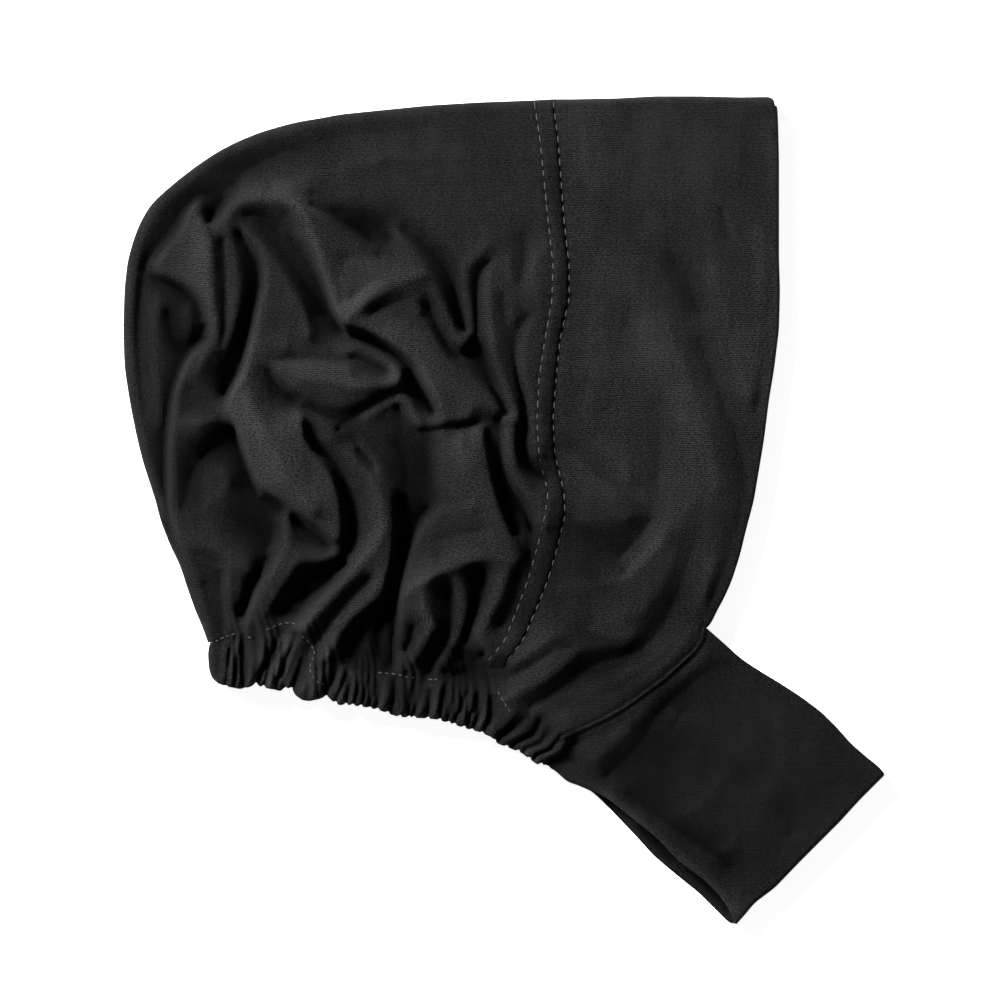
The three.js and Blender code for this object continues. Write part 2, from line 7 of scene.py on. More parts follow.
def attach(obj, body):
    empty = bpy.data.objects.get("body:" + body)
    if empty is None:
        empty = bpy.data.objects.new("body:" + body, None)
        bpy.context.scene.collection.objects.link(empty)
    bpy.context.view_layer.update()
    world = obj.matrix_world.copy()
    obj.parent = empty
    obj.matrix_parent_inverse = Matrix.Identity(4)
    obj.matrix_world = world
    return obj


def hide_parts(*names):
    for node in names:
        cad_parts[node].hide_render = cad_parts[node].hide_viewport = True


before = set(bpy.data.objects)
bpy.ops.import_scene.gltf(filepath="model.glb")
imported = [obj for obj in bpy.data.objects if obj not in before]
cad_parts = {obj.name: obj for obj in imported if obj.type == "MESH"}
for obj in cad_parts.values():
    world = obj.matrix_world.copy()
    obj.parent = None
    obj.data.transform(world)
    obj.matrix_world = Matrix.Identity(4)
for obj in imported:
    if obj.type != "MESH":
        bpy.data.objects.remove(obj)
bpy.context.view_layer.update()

# The near layer of the cap as it lies. The cap is sewn from worn black cotton jersey, folded on its plane
# of symmetry and laid on its side. Crown, front band, casing and strap join edge to edge, so their near
# layers are one surface of heights, hung between traced folds and hollows and drawn down by the seams.
#
# Lines are traced in pixels of the photograph, x to the right and y down. Heights are in millimetres above
# the table. The painted shading is the share of the cloth's own colour that shows: painted shade, down to
# none where the cloth lies black and hidden in hollows, creases and grooves, and painted light, above the
# full colour, on some crests.
MM_PER_PIXEL = 0.34  # on the table
PIXEL = MM_PER_PIXEL / 1000  # metres
ORIGIN = (503.5, 510)  # the pixel over the frame's origin
X0, Y0, X1, Y1 = 96, 80, 912, 944  # the field of heights, with one value to a pixel

# Each fold or hollow: its name, its height at the start, its height at the end, its line.
RIM_AND_TOP = [
    # the crown's rim and the trough inside it
    ("rim roll", 9.6, 9.6,
     [(533, 109), (430, 114), (340, 123), (300, 131), (262, 142), (225, 158), (192, 181), (163, 208),
      (146, 236), (136, 270), (132, 330), (135, 400), (147, 460), (161, 500), (177, 545), (191, 585),
      (204, 625)]),
    ("trough at the top", 9.6, 8.2, [(430, 127), (330, 139), (285, 151), (252, 167), (236, 182)]),
    ("trough by the star", 7.4, 6.6,
     [(236, 184), (220, 194), (200, 195), (184, 210), (171, 229), (159, 246), (148, 261), (145, 272)]),
    ("trough at the back", 7.0, 8.8,
     [(145, 272), (141, 290), (139, 315), (139, 345), (141, 380), (146, 420)]),
    ("band at the back", 10.2, 9.4, [(159, 300), (156, 330), (158, 370), (161, 400), (163, 425)]),
    ("smooth top", 12.3, 12.0, [(285, 178), (330, 175), (390, 158), (460, 158), (525, 160)]),
    ("dent in the smooth top", 11.5, 11.7,
     [(385, 168), (405, 178), (430, 190), (455, 206), (480, 216), (505, 228)]),
    ("front shoulder", 12.8, 13.2, [(420, 215), (440, 229), (457, 248), (470, 252)]),
]
CROWN_FOLDS = [
    # the star fold and the collar
    ("star, upper left edge", 15.5, 14.0,
     [(199, 203), (193, 213), (187, 226), (181, 239), (171, 250), (162, 260), (157, 266)]),
    ("star, body", 17.5, 16.5,
     [(203, 222), (211, 240), (213, 260), (212, 285), (213, 306), (216, 325), (216, 337)]),
    ("star, right shoulder", 15.4, 14.4,
     [(222, 222), (233, 242), (238, 264), (240, 288), (237, 312), (230, 334), (221, 352)]),
    ("star, lower edge", 14.0, 15.5,
     [(159, 272), (172, 277), (186, 284), (198, 293), (206, 304), (211, 317), (214, 332)]),
    ("under the star", 9.0, 9.4,
     [(152, 277), (165, 284), (178, 288), (189, 295), (198, 305), (203, 318)]),
    ("small lobe", 11.5, 11.0, [(190, 308), (189, 325), (188, 338)]),
    ("pocket at the back", 8.4, 7.8, [(168, 312), (171, 330), (176, 345), (184, 353)]),
    ("pocket under the lobe", 8.6, 7.8, [(206, 325), (203, 334), (193, 345), (186, 353)]),
    ("notch by the star", 8.4, 9.6, [(224, 198), (217, 210), (209, 222)]),
    ("collar", 15.0, 17.5,
     [(213, 230), (221, 224), (228, 214), (234, 207), (244, 202), (260, 200), (280, 200), (296, 204)]),
    ("pocket in the collar", 13.6, 12.2, [(247, 217), (258, 216), (270, 221), (279, 229)]),
    ("collar, face", 14.5, 13.5, [(288, 214), (292, 228), (297, 243)]),
    # the tall fold
    ("slope behind the tall fold", 14.2, 13.2, [(224, 240), (226, 280), (226, 325), (220, 362)]),
    ("behind the tall fold", 11.6, 8.6,
     [(240, 234), (248, 246), (255, 258), (259, 270), (259, 288), (255, 306), (251, 323), (247, 340),
      (243, 356), (238, 370), (231, 384), (224, 396)]),
    ("tall fold, left edge", 16.4, 17.6,
     [(246, 232), (253, 242), (259, 251), (265, 261), (267, 272), (266, 288), (262, 304), (258, 321),
      (254, 338), (250, 355), (246, 369), (241, 380), (234, 391), (230, 402)]),
    ("tall fold, hollow", 16.8, 17.0, [(285, 305), (285, 328), (287, 350)]),
    ("tall fold, second crest", 15.8, 16.4,
     [(262, 244), (271, 254), (281, 269), (291, 285), (300, 300), (307, 318), (311, 338)]),
    ("beside the middle fold, left", 13.5, 8.8,
     [(264, 231), (275, 241), (287, 256), (298, 271), (309, 286), (319, 302), (326, 315)]),
    ("beside the middle fold, right", 12.5, 8.3,
     [(292, 240), (303, 254), (312, 268), (320, 284), (326, 299), (331, 312), (337, 323), (343, 333)]),
    ("middle fold, crest", 19.0, 19.5,
     [(298, 204), (304, 214), (310, 228), (315, 242), (320, 256), (324, 270), (328, 284), (332, 298),
      (336, 310), (341, 319), (347, 326)]),
    ("middle fold, upper edge", 16.6, 14.0,
     [(302, 204), (314, 211), (327, 219), (340, 227), (352, 235), (362, 242), (374, 251), (382, 258)]),
    ("wedge, along the edge", 13.6, 9.8,
     [(312, 206), (323, 211), (336, 218), (349, 226), (361, 234), (372, 243)]),
    ("wedge, floor", 11.2, 10.8, [(338, 213), (352, 217), (368, 222), (383, 230), (391, 240)]),
    ("above the wedge", 12.3, 12.3, [(312, 195), (345, 204), (380, 209), (407, 218)]),
    ("cross crease", 15.4, 15.2, [(345, 259), (370, 260), (395, 261)]),
    ("below the cross crease", 16.2, 15.8, [(342, 267), (370, 267), (402, 266)]),
    ("middle fold, face", 17.2, 17.4, [(336, 262), (341, 285), (344, 305)]),
    ("hollow in the face", 16.2, 16.0, [(352, 300), (362, 290), (376, 281)]),
    ("cross fold", 19.2, 16.5,
     [(349, 321), (355, 314), (363, 306), (374, 298), (387, 290), (400, 284), (413, 279), (425, 276)]),
    ("under the cross fold", 15.0, 15.0, [(371, 313), (387, 306), (402, 301), (418, 299)]),
    ("under the cross fold, lower", 15.8, 15.4, [(384, 321), (405, 318), (420, 312)]),
    # towards the seam
    ("narrow fold", 14.4, 14.6,
     [(393, 233), (404, 241), (414, 251), (423, 261), (430, 272), (436, 286), (441, 300), (447, 315),
      (453, 330), (457, 343)]),
    ("curved groove", 11.8, 8.0,
     [(403, 229), (413, 234), (423, 242), (432, 252), (440, 262), (447, 271), (453, 281), (457, 294),
      (460, 308), (463, 321), (465, 331)]),
    ("thin fold", 13.6, 14.6,
     [(490, 246), (482, 253), (474, 260), (467, 268), (464, 280), (465, 295), (468, 310), (470, 325),
      (468, 338), (462, 348)]),
    ("groove past the thin fold", 11.6, 9.4,
     [(491, 262), (483, 269), (478, 281), (477, 300), (477, 318), (477, 335), (475, 350)]),
    ("black pit", 9.4, 10.4, [(467, 354), (476, 362), (484, 371), (490, 382)]),
    ("black pit, right side", 9.6, 11.0,
     [(482, 345), (485, 360), (489, 376), (495, 390), (502, 402), (508, 415)]),
    ("pillar", 14.4, 15.0,
     [(492, 268), (488, 285), (488, 305), (490, 325), (492, 345), (496, 362), (501, 379), (508, 394),
      (514, 408), (518, 422)]),
    ("groove in the pillar", 13.2, 12.4,
     [(503, 298), (506, 320), (509, 342), (513, 362), (517, 382), (521, 400)]),
    ("second pillar", 14.4, 14.2, [(508, 258), (511, 280), (512, 300), (513, 322)]),
    ("groove near the seam", 11.6, 13.2, [(522, 236), (525, 250), (525, 265), (521, 283)]),
    ("seam shoulder", 14.6, 14.6, [(539, 256), (535, 270), (538, 288), (541, 302)]),
    ("fold edge at the seam", 14.0, 14.0,
     [(543, 313), (534, 325), (527, 337), (523, 351), (522, 366), (525, 381), (530, 393), (534, 408),
      (535, 425), (535, 440), (537, 456)]),
    ("groove before the seam", 12.8, 8.6,
     [(528, 317), (519, 330), (515, 346), (515, 364), (518, 382), (523, 397), (526, 412), (525, 428),
      (523, 443), (525, 456), (530, 467), (538, 475), (546, 479)]),
    ("strip fold", 14.6, 14.8,
     [(505, 410), (511, 424), (513, 439), (514, 455), (517, 470), (524, 483), (533, 494), (541, 503),
      (545, 515), (543, 528)]),
    ("strip fold, left edge", 14.4, 13.8,
     [(507, 432), (506, 448), (508, 465), (513, 479), (520, 490), (528, 500), (534, 512), (539, 526)]),
    ("black pocket, right", 11.6, 8.2,
     [(499, 418), (501, 433), (500, 449), (501, 466), (506, 482), (514, 495), (522, 506), (528, 518),
      (533, 532)]),
    ("black pocket, left", 12.2, 8.4,
     [(488, 430), (492, 445), (495, 461), (498, 477), (502, 492), (507, 506), (511, 520), (516, 533)]),
    ("floor before the seam", 11.0, 11.5, [(521, 518), (526, 532), (531, 546), (530, 560)]),
    # the flap, the roll and the diagonal face
    ("black groove", 8.6, 7.6,
     [(355, 335), (367, 339), (379, 345), (391, 352), (402, 360), (411, 369), (415, 380), (421, 391),
      (428, 402), (434, 413)]),
    ("pit beside the roll", 7.6, 7.6, [(410, 373), (410, 384), (416, 392)]),
    ("diagonal face, lower edge", 18.5, 16.8,
     [(350, 326), (362, 329), (374, 334), (386, 340), (397, 348), (408, 356), (418, 366), (425, 377),
      (431, 389), (437, 401), (442, 411)]),
    ("diagonal face", 16.8, 15.6,
     [(385, 328), (402, 331), (417, 345), (432, 362), (447, 380), (462, 398), (475, 408)]),
    ("diagonal face, right edge", 14.4, 15.6,
     [(424, 320), (431, 332), (438, 344), (446, 357), (455, 367), (468, 374), (480, 382), (489, 392),
      (497, 404), (503, 415)]),
    ("beside the narrow fold", 11.4, 10.6, [(427, 306), (435, 320), (443, 335), (450, 349), (459, 359)]),
    ("small roll", 15.0, 17.0,
     [(346, 352), (357, 346), (369, 350), (381, 356), (391, 363), (399, 370), (403, 378), (399, 386)]),
    ("behind the roll", 12.8, 12.8, [(352, 358), (364, 363), (377, 369), (387, 373)]),
    ("crease above the flap", 15.6, 13.4, [(271, 361), (290, 360), (310, 360), (330, 361), (347, 361)]),
    ("flap, top edge", 16.6, 16.6, [(277, 367), (295, 367), (315, 367), (338, 368), (350, 371)]),
    ("flap, middle", 17.4, 17.0, [(300, 379), (330, 382), (360, 387), (385, 385), (397, 381)]),
    ("flap, left edge", 16.6, 15.6, [(278, 370), (286, 381), (295, 390), (306, 395), (320, 397)]),
    ("flap, lower edge", 15.0, 15.2, [(306, 400), (324, 405), (344, 407), (364, 400), (385, 390)]),
    ("groove left of the flap", 14.6, 9.8, [(270, 371), (275, 382), (284, 393), (297, 403)]),
    ("under the flap", 11.6, 12.6, [(300, 407), (318, 416), (336, 423), (352, 418)]),
    ("crease below the flap", 13.4, 11.6,
     [(404, 391), (393, 395), (380, 402), (367, 409), (354, 417), (343, 424), (338, 431)]),
    ("dark face, upper edge", 14.6, 13.8, [(398, 398), (386, 405), (374, 412), (364, 419)]),
    ("dark face, upper", 12.8, 12.2, [(388, 410), (380, 425), (380, 440), (388, 456)]),
    ("dark face, middle", 11.8, 11.2, [(400, 420), (404, 440), (407, 460), (408, 482)]),
    ("dark face, right", 12.0, 11.6, [(428, 442), (431, 460), (433, 480), (431, 497)]),
    ("pocket below the crease", 12.4, 11.0, [(352, 438), (362, 451), (370, 461), (377, 468)]),
    ("beside that pocket", 13.0, 12.2, [(366, 428), (371, 440), (377, 452)]),
    ("small lit fold", 15.6, 15.6,
     [(404, 397), (410, 406), (413, 416), (418, 425), (430, 423), (444, 421), (459, 420), (471, 418)]),
    ("left of the small lit fold", 11.6, 12.0, [(398, 406), (403, 418), (409, 430), (417, 434)]),
    ("crease under the small fold", 12.9, 12.6,
     [(422, 431), (440, 429), (458, 429), (470, 425), (482, 422)]),
    # the centre panel and the lower panel
    ("centre panel, left side", 14.4, 14.2, [(444, 434), (443, 450), (443, 470), (445, 490), (449, 503)]),
    ("centre panel", 16.2, 15.8, [(462, 436), (464, 460), (467, 485), (474, 508)]),
    ("centre panel, right edge", 16.0, 15.0,
     [(480, 429), (484, 445), (487, 462), (490, 478), (494, 492), (499, 507), (505, 521), (511, 535),
      (516, 547), (520, 556)]),
    ("lower panel, fold", 15.2, 14.0, [(470, 500), (456, 507), (442, 514), (431, 524)]),
    ("lower panel, hollow", 13.6, 13.6, [(436, 542), (460, 534), (484, 530)]),
    ("lower panel, left edge", 13.8, 14.4,
     [(436, 510), (427, 520), (421, 532), (416, 547), (411, 563), (406, 580), (402, 598), (401, 618),
      (400, 640), (400, 658), (399, 670)]),
    ("long valley, right side", 8.3, 8.6,
     [(429, 508), (420, 518), (413, 531), (408, 547), (403, 564), (398, 582), (395, 602), (394, 625),
      (393, 648), (392, 666)]),
    ("long valley, left side", 9.0, 8.3,
     [(403, 500), (401, 520), (401, 540), (398, 560), (394, 580), (389, 600), (384, 618), (378, 635)]),
    ("lower panel, crest", 15.6, 15.2,
     [(404, 595), (414, 587), (427, 580), (440, 573), (455, 567), (470, 562), (488, 559), (505, 560),
      (517, 562)]),
    ("hole one", 8.8, 9.2,
     [(446, 587), (450, 602), (451, 618), (449, 633), (443, 647), (436, 659), (430, 672)]),
    ("hole two", 8.4, 8.4, [(476, 570), (483, 582), (480, 596), (476, 610), (471, 624), (465, 640)]),
    ("pocket by the hem", 8.4, 8.6, [(455, 652), (464, 660), (470, 672), (455, 674)]),
    ("thin fold by the hem", 13.6, 13.2,
     [(458, 579), (462, 592), (464, 607), (463, 622), (457, 636), (449, 648), (442, 659), (436, 670)]),
    ("left lobe", 15.2, 14.6, [(420, 593), (425, 605), (430, 617), (435, 627)]),
    ("lobe pleat", 14.6, 14.0, [(435, 628), (427, 638), (419, 648), (412, 658), (406, 668)]),
    ("groove in the lobe", 11.6, 10.8, [(414, 627), (411, 640), (405, 652)]),
    ("hollow above the hem", 10.2, 9.2, [(444, 672), (460, 669), (475, 663), (484, 654)]),
    ("cheek fold", 14.6, 14.4,
     [(509, 567), (504, 580), (499, 594), (492, 607), (485, 619), (477, 631), (485, 645), (491, 658)]),
    ("dark beside the cheek fold", 10.6, 11.4,
     [(500, 626), (507, 617), (513, 604), (517, 590), (520, 575)]),
    # the tall fold's foot, and what lies round it
    ("tall fold, body", 18.2, 18.6,
     [(250, 398), (261, 420), (272, 445), (285, 470), (300, 493), (316, 512)]),
    ("tall fold, lower left edge", 17.4, 16.4,
     [(231, 405), (234, 418), (240, 432), (245, 446), (250, 460), (256, 475), (262, 488)]),
    ("tall fold, foot", 16.2, 15.6,
     [(264, 490), (275, 496), (286, 502), (297, 510), (308, 518), (319, 525), (329, 533), (336, 541)]),
    ("tall fold, right edge", 16.8, 15.8,
     [(301, 411), (304, 425), (306, 439), (313, 450), (322, 461), (330, 472), (336, 487), (340, 503),
      (342, 519), (342, 533), (339, 545)]),
    ("left of the tall fold", 8.4, 8.6,
     [(233, 429), (238, 443), (243, 457), (248, 471), (253, 484), (258, 494)]),
    ("arc, top", 9.0, 9.4, [(234, 441), (222, 444), (211, 450), (202, 459)]),
    ("arc, side", 10.6, 12.6, [(201, 460), (194, 471), (189, 485), (186, 499), (183, 511)]),
    ("back fold, edge", 14.6, 14.2,
     [(213, 343), (203, 347), (194, 354), (187, 365), (182, 378), (178, 394), (175, 412), (173, 432),
      (172, 455), (172, 480), (173, 503), (176, 522), (180, 540), (185, 556), (191, 573), (197, 592),
      (203, 611), (208, 628)]),
    ("outside the back fold", 8.8, 8.8,
     [(205, 338), (194, 347), (186, 356), (179, 368), (174, 382), (170, 396), (167, 413), (165, 433),
      (164, 455), (164, 480), (165, 503), (168, 524), (173, 543), (179, 560), (185, 577), (192, 597),
      (199, 616)]),
    ("back fold, body", 15.2, 14.4, [(212, 350), (204, 362), (198, 375)]),
    ("back fold, shade", 13.2, 13.2, [(192, 390), (205, 394), (216, 398)]),
    ("back fold, lower body", 14.4, 14.6, [(188, 420), (200, 425), (213, 421), (222, 412)]),
    ("mound", 13.2, 13.0, [(212, 478), (223, 471), (231, 480), (223, 495), (209, 505), (200, 519)]),
    ("under the tall fold", 9.0, 9.2, [(262, 498), (273, 504), (282, 511)]),
    ("dark floor", 10.4, 10.2, [(248, 506), (263, 513), (274, 525), (272, 540), (266, 552)]),
    ("dark floor, left", 12.2, 12.0, [(229, 516), (236, 530), (246, 544)]),
    ("soft crest", 14.4, 14.2,
     [(182, 534), (193, 538), (206, 544), (219, 550), (232, 556), (244, 563), (252, 572)]),
    ("under the soft crest", 13.2, 12.4, [(198, 554), (208, 558), (218, 565)]),
    ("gathers at the back", 12.4, 12.8, [(206, 585), (212, 605), (217, 625)]),
    ("upright edge", 14.6, 14.2, [(229, 568), (229, 585), (230, 605), (231, 628)]),
    ("beside the upright edge", 11.8, 12.0, [(222, 572), (222, 590), (223, 610), (225, 628)]),
    ("cup", 13.6, 13.2, [(241, 575), (243, 590), (240, 602)]),
    ("dark side of the cup", 9.4, 9.8, [(268, 558), (261, 572), (254, 586), (248, 600), (243, 616)]),
    ("first pleat", 15.2, 14.6,
     [(287, 516), (289, 530), (289, 543), (284, 556), (276, 567), (268, 578), (261, 590), (255, 602),
      (250, 615), (248, 629)]),
    ("first pleat, right side", 14.8, 14.0,
     [(300, 558), (291, 572), (281, 588), (271, 603), (263, 618), (258, 630)]),
    ("hole", 9.2, 9.0, [(293, 518), (302, 526), (312, 534), (322, 541), (330, 548)]),
    ("hook roll", 14.4, 15.2, [(290, 550), (300, 556), (312, 560), (324, 559), (335, 554), (342, 547)]),
    ("black pit by the pleat", 8.0, 7.8, [(308, 577), (320, 574), (334, 570), (345, 563)]),
    ("black pit, foot", 8.2, 8.2, [(294, 596), (306, 597), (320, 587), (332, 577)]),
    ("black pit, by the hem", 9.2, 9.6, [(280, 612), (290, 609)]),
    ("streak in the pit", 10.4, 10.4, [(318, 586), (311, 596), (303, 606), (296, 615)]),
    # the long fold and the dark gathers beside it
    ("long fold, top", 13.8, 15.0, [(305, 413), (318, 418), (330, 425), (340, 434)]),
    ("groove beside the tall fold", 13.6, 9.2, [(305, 425), (309, 438), (315, 449)]),
    ("black groove by the tall fold", 9.0, 8.4,
     [(315, 449), (326, 457), (336, 467), (343, 479), (347, 492), (349, 506), (350, 522), (350, 538),
      (346, 551)]),
    ("long fold, inner edge", 14.2, 13.4, [(324, 438), (338, 450), (347, 463), (353, 477), (357, 490)]),
    ("long fold, inner hollow", 12.4, 11.8, [(361, 506), (362, 521), (360, 537), (353, 550)]),
    ("long fold, crest", 15.4, 16.4,
     [(350, 455), (363, 468), (374, 482), (382, 496), (386, 510), (387, 524), (383, 536), (375, 548),
      (365, 559), (353, 571), (341, 583), (329, 596), (317, 609), (307, 621), (301, 632)]),
    ("long fold, right edge", 14.4, 14.8,
     [(353, 441), (365, 453), (376, 466), (384, 480), (390, 495), (393, 510), (394, 525), (393, 542),
      (391, 558), (388, 575), (384, 590), (377, 601), (366, 609), (355, 616), (346, 625)]),
    ("groove in the long fold", 12.6, 11.8,
     [(371, 578), (361, 589), (350, 600), (340, 612), (331, 624), (321, 638), (311, 650)]),
    ("long fold, second lobe", 15.0, 14.8,
     [(385, 570), (379, 586), (368, 598), (356, 608), (345, 620), (337, 634), (331, 648), (325, 660)]),
    ("dark gathers, floor", 8.6, 9.2, [(364, 621), (357, 638), (351, 652), (346, 662)]),
    ("streak one", 10.8, 11.0, [(373, 606), (370, 625), (368, 645), (372, 660)]),
    ("streak two", 10.8, 11.4, [(384, 624), (388, 640), (391, 656)]),
    ("floor between the streaks", 8.4, 8.8, [(379, 618), (378, 640), (381, 658)]),
]
BAND_FOLDS = [
    # the front band
    ("band, along the seam at the top", 11.6, 11.6, [(585, 120), (590, 200), (592, 300), (585, 400)]),
    ("band, middle", 10.6, 11.0, [(650, 120), (650, 190), (640, 260), (625, 340), (610, 410)]),
    ("band, front", 9.6, 9.2,
     [(766, 112), (770, 200), (770, 290), (764, 370), (752, 450), (742, 510), (728, 560), (712, 600)]),
    ("band, upper swell", 10.4, 10.6, [(715, 130), (712, 190), (745, 250), (748, 320)]),
    ("dent near the front", 9.2, 9.4, [(722, 208), (726, 224), (728, 240)]),
    ("oval dent", 8.9, 9.1, [(674, 262), (686, 280), (694, 298), (699, 314)]),
    ("swell between the dents", 10.9, 11.2, [(712, 270), (722, 300), (735, 345), (750, 400)]),
    ("long dent", 9.4, 9.0, [(700, 340), (711, 370), (723, 400), (734, 430), (742, 460), (746, 490)]),
    ("swell before the long dent", 11.4, 11.6,
     [(670, 330), (685, 370), (700, 410), (712, 450), (718, 490)]),
    ("upright dent", 10.4, 10.2, [(655, 400), (661, 430), (661, 458), (657, 482)]),
    ("swell by the seam", 12.0, 12.6, [(600, 440), (620, 460), (630, 480)]),
    ("diagonal dent", 11.6, 11.0, [(570, 452), (585, 466), (602, 480), (622, 492), (642, 501)]),
    ("wedge dent", 9.4, 9.8, [(651, 520), (643, 533), (633, 545), (621, 557)]),
    ("cheek", 13.4, 12.6, [(575, 520), (600, 520), (630, 518)]),
    ("cheek, lower", 13.8, 13.6, [(560, 590), (590, 585), (620, 580), (645, 560), (668, 530)]),
    ("crease in the cheek", 11.4, 11.6, [(656, 540), (645, 551), (634, 562), (625, 573)]),
    ("jaw swell", 12.2, 12.8, [(690, 500), (683, 525), (672, 560), (660, 590), (640, 612), (610, 622)]),
    ("valley, upper part", 11.0, 10.2, [(705, 525), (694, 548), (685, 572), (677, 597)]),
    ("valley, deep part", 10.2, 9.2, [(677, 597), (668, 618), (656, 636), (641, 649)]),
    ("valley, foot", 9.6, 10.8, [(641, 649), (622, 657), (602, 662), (584, 671), (568, 684), (556, 692)]),
    ("jaw", 10.8, 11.8,
     [(716, 560), (706, 590), (695, 615), (680, 635), (662, 652), (640, 668), (615, 680), (590, 690)]),
    ("crescent", 12.0, 12.0, [(588, 626), (602, 631), (618, 634), (634, 635)]),
    ("under the crescent", 13.2, 13.0, [(560, 650), (585, 646), (610, 645), (628, 643)]),
    ("hem swell one", 14.4, 14.2, [(512, 666), (526, 656), (542, 645), (556, 634)]),
    ("groove one", 12.6, 12.8, [(507, 679), (522, 672), (538, 662), (552, 652)]),
    ("hem swell two", 15.2, 14.4,
     [(506, 700), (520, 691), (537, 683), (553, 673), (567, 661), (576, 650)]),
    ("groove two", 11.8, 10.8, [(530, 707), (544, 700), (557, 692)]),
    ("above the strap seam", 12.4, 11.4,
     [(556, 717), (575, 713), (595, 705), (615, 697), (640, 683), (662, 666), (682, 645), (694, 628)]),
]
STRAP_FOLDS = [
    # the chin strap
    ("past the strap seam", 10.0, 9.4,
     [(566, 745), (590, 738), (615, 727), (640, 712), (665, 692), (686, 668), (700, 648)]),
    ("strap, first swell", 10.2, 9.6,
     [(560, 762), (585, 765), (605, 752), (625, 730), (646, 706), (668, 688), (692, 668), (708, 652)]),
    ("step in the strap", 8.2, 7.2,
     [(719, 664), (704, 675), (688, 688), (671, 702), (657, 717), (647, 733), (636, 749), (622, 763),
      (606, 777)]),
    ("past the step", 8.2, 8.0,
     [(728, 664), (712, 684), (696, 700), (680, 716), (668, 735), (655, 753), (640, 772), (618, 794)]),
    ("strap, middle", 9.0, 9.0, [(728, 778), (708, 800), (686, 815)]),
    ("strap, hollow", 7.4, 7.0, [(628, 795), (650, 812), (668, 825), (688, 838), (710, 852), (732, 868)]),
    ("crease across the strap", 8.2, 8.5, [(655, 728), (680, 740), (705, 751), (730, 765), (750, 783)]),
    ("above that crease", 9.0, 9.0, [(672, 716), (704, 724), (742, 738), (780, 752)]),
    ("small dent", 8.1, 8.1, [(783, 805), (791, 821), (790, 836)]),
    ("strap, neck roll", 9.4, 9.2,
     [(612, 797), (640, 816), (664, 838), (688, 856), (712, 877), (731, 900)]),
    ("strap, broad", 9.2, 9.0, [(790, 715), (785, 760), (765, 800), (740, 835), (725, 852)]),
    ("strap, end", 8.8, 8.8, [(862, 775), (832, 808), (800, 838), (772, 862), (742, 896)]),
]

# For each table: how much bolder its folds stand than traced, and about which height; then the painted
# shading, painted shade that darkens the hollows, black at the first height and up to its share at the
# second.
LAYS = [
    (RIM_AND_TOP, 1, 0, 4.0, 10.0, 0.5),
    (CROWN_FOLDS, 1.45, 12.2, 6.5, 17.0, 1.04),
    (BAND_FOLDS, 1.25, 11.0, 4.0, 11.0, 0.74),
    (STRAP_FOLDS, 1.3, 9, 5.0, 9.4, 0.62),
]

# Painted shade along lines, and painted light where the share passes one, whatever the height: its share,
# and the line.
PAINTED_SHADING_LINES = [
    # in the crown
    (0.12, [(246, 246), (253, 268), (253, 298), (247, 326), (237, 352)]),
    (0.50, [(226, 246), (229, 280), (228, 312), (222, 338)]),
    (0.11, [(395, 440), (402, 460), (408, 482), (425, 470), (425, 450)]),
    (0.10, [(235, 515), (250, 525), (265, 538)]),
    (0.22, [(190, 440), (200, 470), (195, 500)]),
    (0.30, [(183, 385), (183, 410)]),
    (0.12, [(226, 194), (222, 205), (214, 218)]),
    (0.22, [(243, 214), (262, 219), (278, 232)]),
    (0.16, [(314, 207), (332, 216), (350, 228), (366, 240)]),
    (0.10, [(330, 211), (352, 217), (375, 224), (390, 236)]),
    (0.10, [(342, 219), (360, 231), (376, 246)]),
    (0.26, [(158, 240), (176, 214), (196, 196), (222, 178), (250, 166), (282, 156)]),
    (0.34, [(142, 300), (146, 268), (158, 238), (178, 208), (202, 182)]),
    (0.14, [(406, 232), (418, 239), (432, 252), (448, 272), (456, 300)]),
    (0.22, [(368, 434), (378, 452), (385, 470)]),
    (0.26, [(428, 445), (431, 470), (432, 492)]),
    (0.45, [(205, 480), (215, 495), (205, 505)]),
    (0.30, [(305, 412), (330, 418), (350, 412)]),
    (0.30, [(215, 172), (240, 160), (272, 150), (300, 144)]),
    # in the band
    (0.36, [(562, 515), (590, 530), (620, 545), (640, 548)]),
    (0.42, [(560, 560), (585, 575), (610, 590), (622, 570)]),
    (0.30, [(575, 625), (600, 640), (630, 642), (655, 622), (672, 600)]),
    (0.34, [(560, 690), (590, 672), (620, 662), (645, 655)]),
    (0.46, [(600, 690), (640, 672), (672, 645)]),
    (0.52, [(567, 168), (590, 195), (612, 216), (638, 240), (660, 258)]),
    (0.50, [(720, 208), (725, 228), (727, 250), (722, 285)]),
    (0.38, [(671, 262), (681, 280), (691, 306)]),
    (0.50, [(700, 330), (718, 360), (732, 395), (742, 430), (746, 475)]),
    (0.62, [(604, 282), (617, 320), (622, 360), (614, 395), (594, 428)]),
    (0.58, [(659, 388), (666, 425), (663, 460), (655, 492)]),
    (0.44, [(562, 440), (595, 474), (622, 492), (645, 508)]),
    (0.84, [(640, 300), (648, 360), (690, 430), (700, 470)]),
    (0.80, [(755, 230), (756, 320), (748, 380)]),
    (0.44, [(712, 592), (690, 622), (664, 652), (630, 680), (585, 705)]),
    (0.30, [(555, 640), (575, 652), (600, 655)]),
    # in the strap
    (0.45, [(640, 725), (625, 750), (605, 772)]),
    (0.40, [(640, 806), (680, 834), (720, 860)]),
    (1.10,
     [(600, 793), (612, 799), (641, 821), (663, 841), (684, 861), (708, 880), (724, 895), (734, 911)]),
    # in the casing
    (0.12, [(345, 668), (380, 672), (395, 676)]),
    (0.30, [(420, 688), (450, 694), (480, 700)]),
]
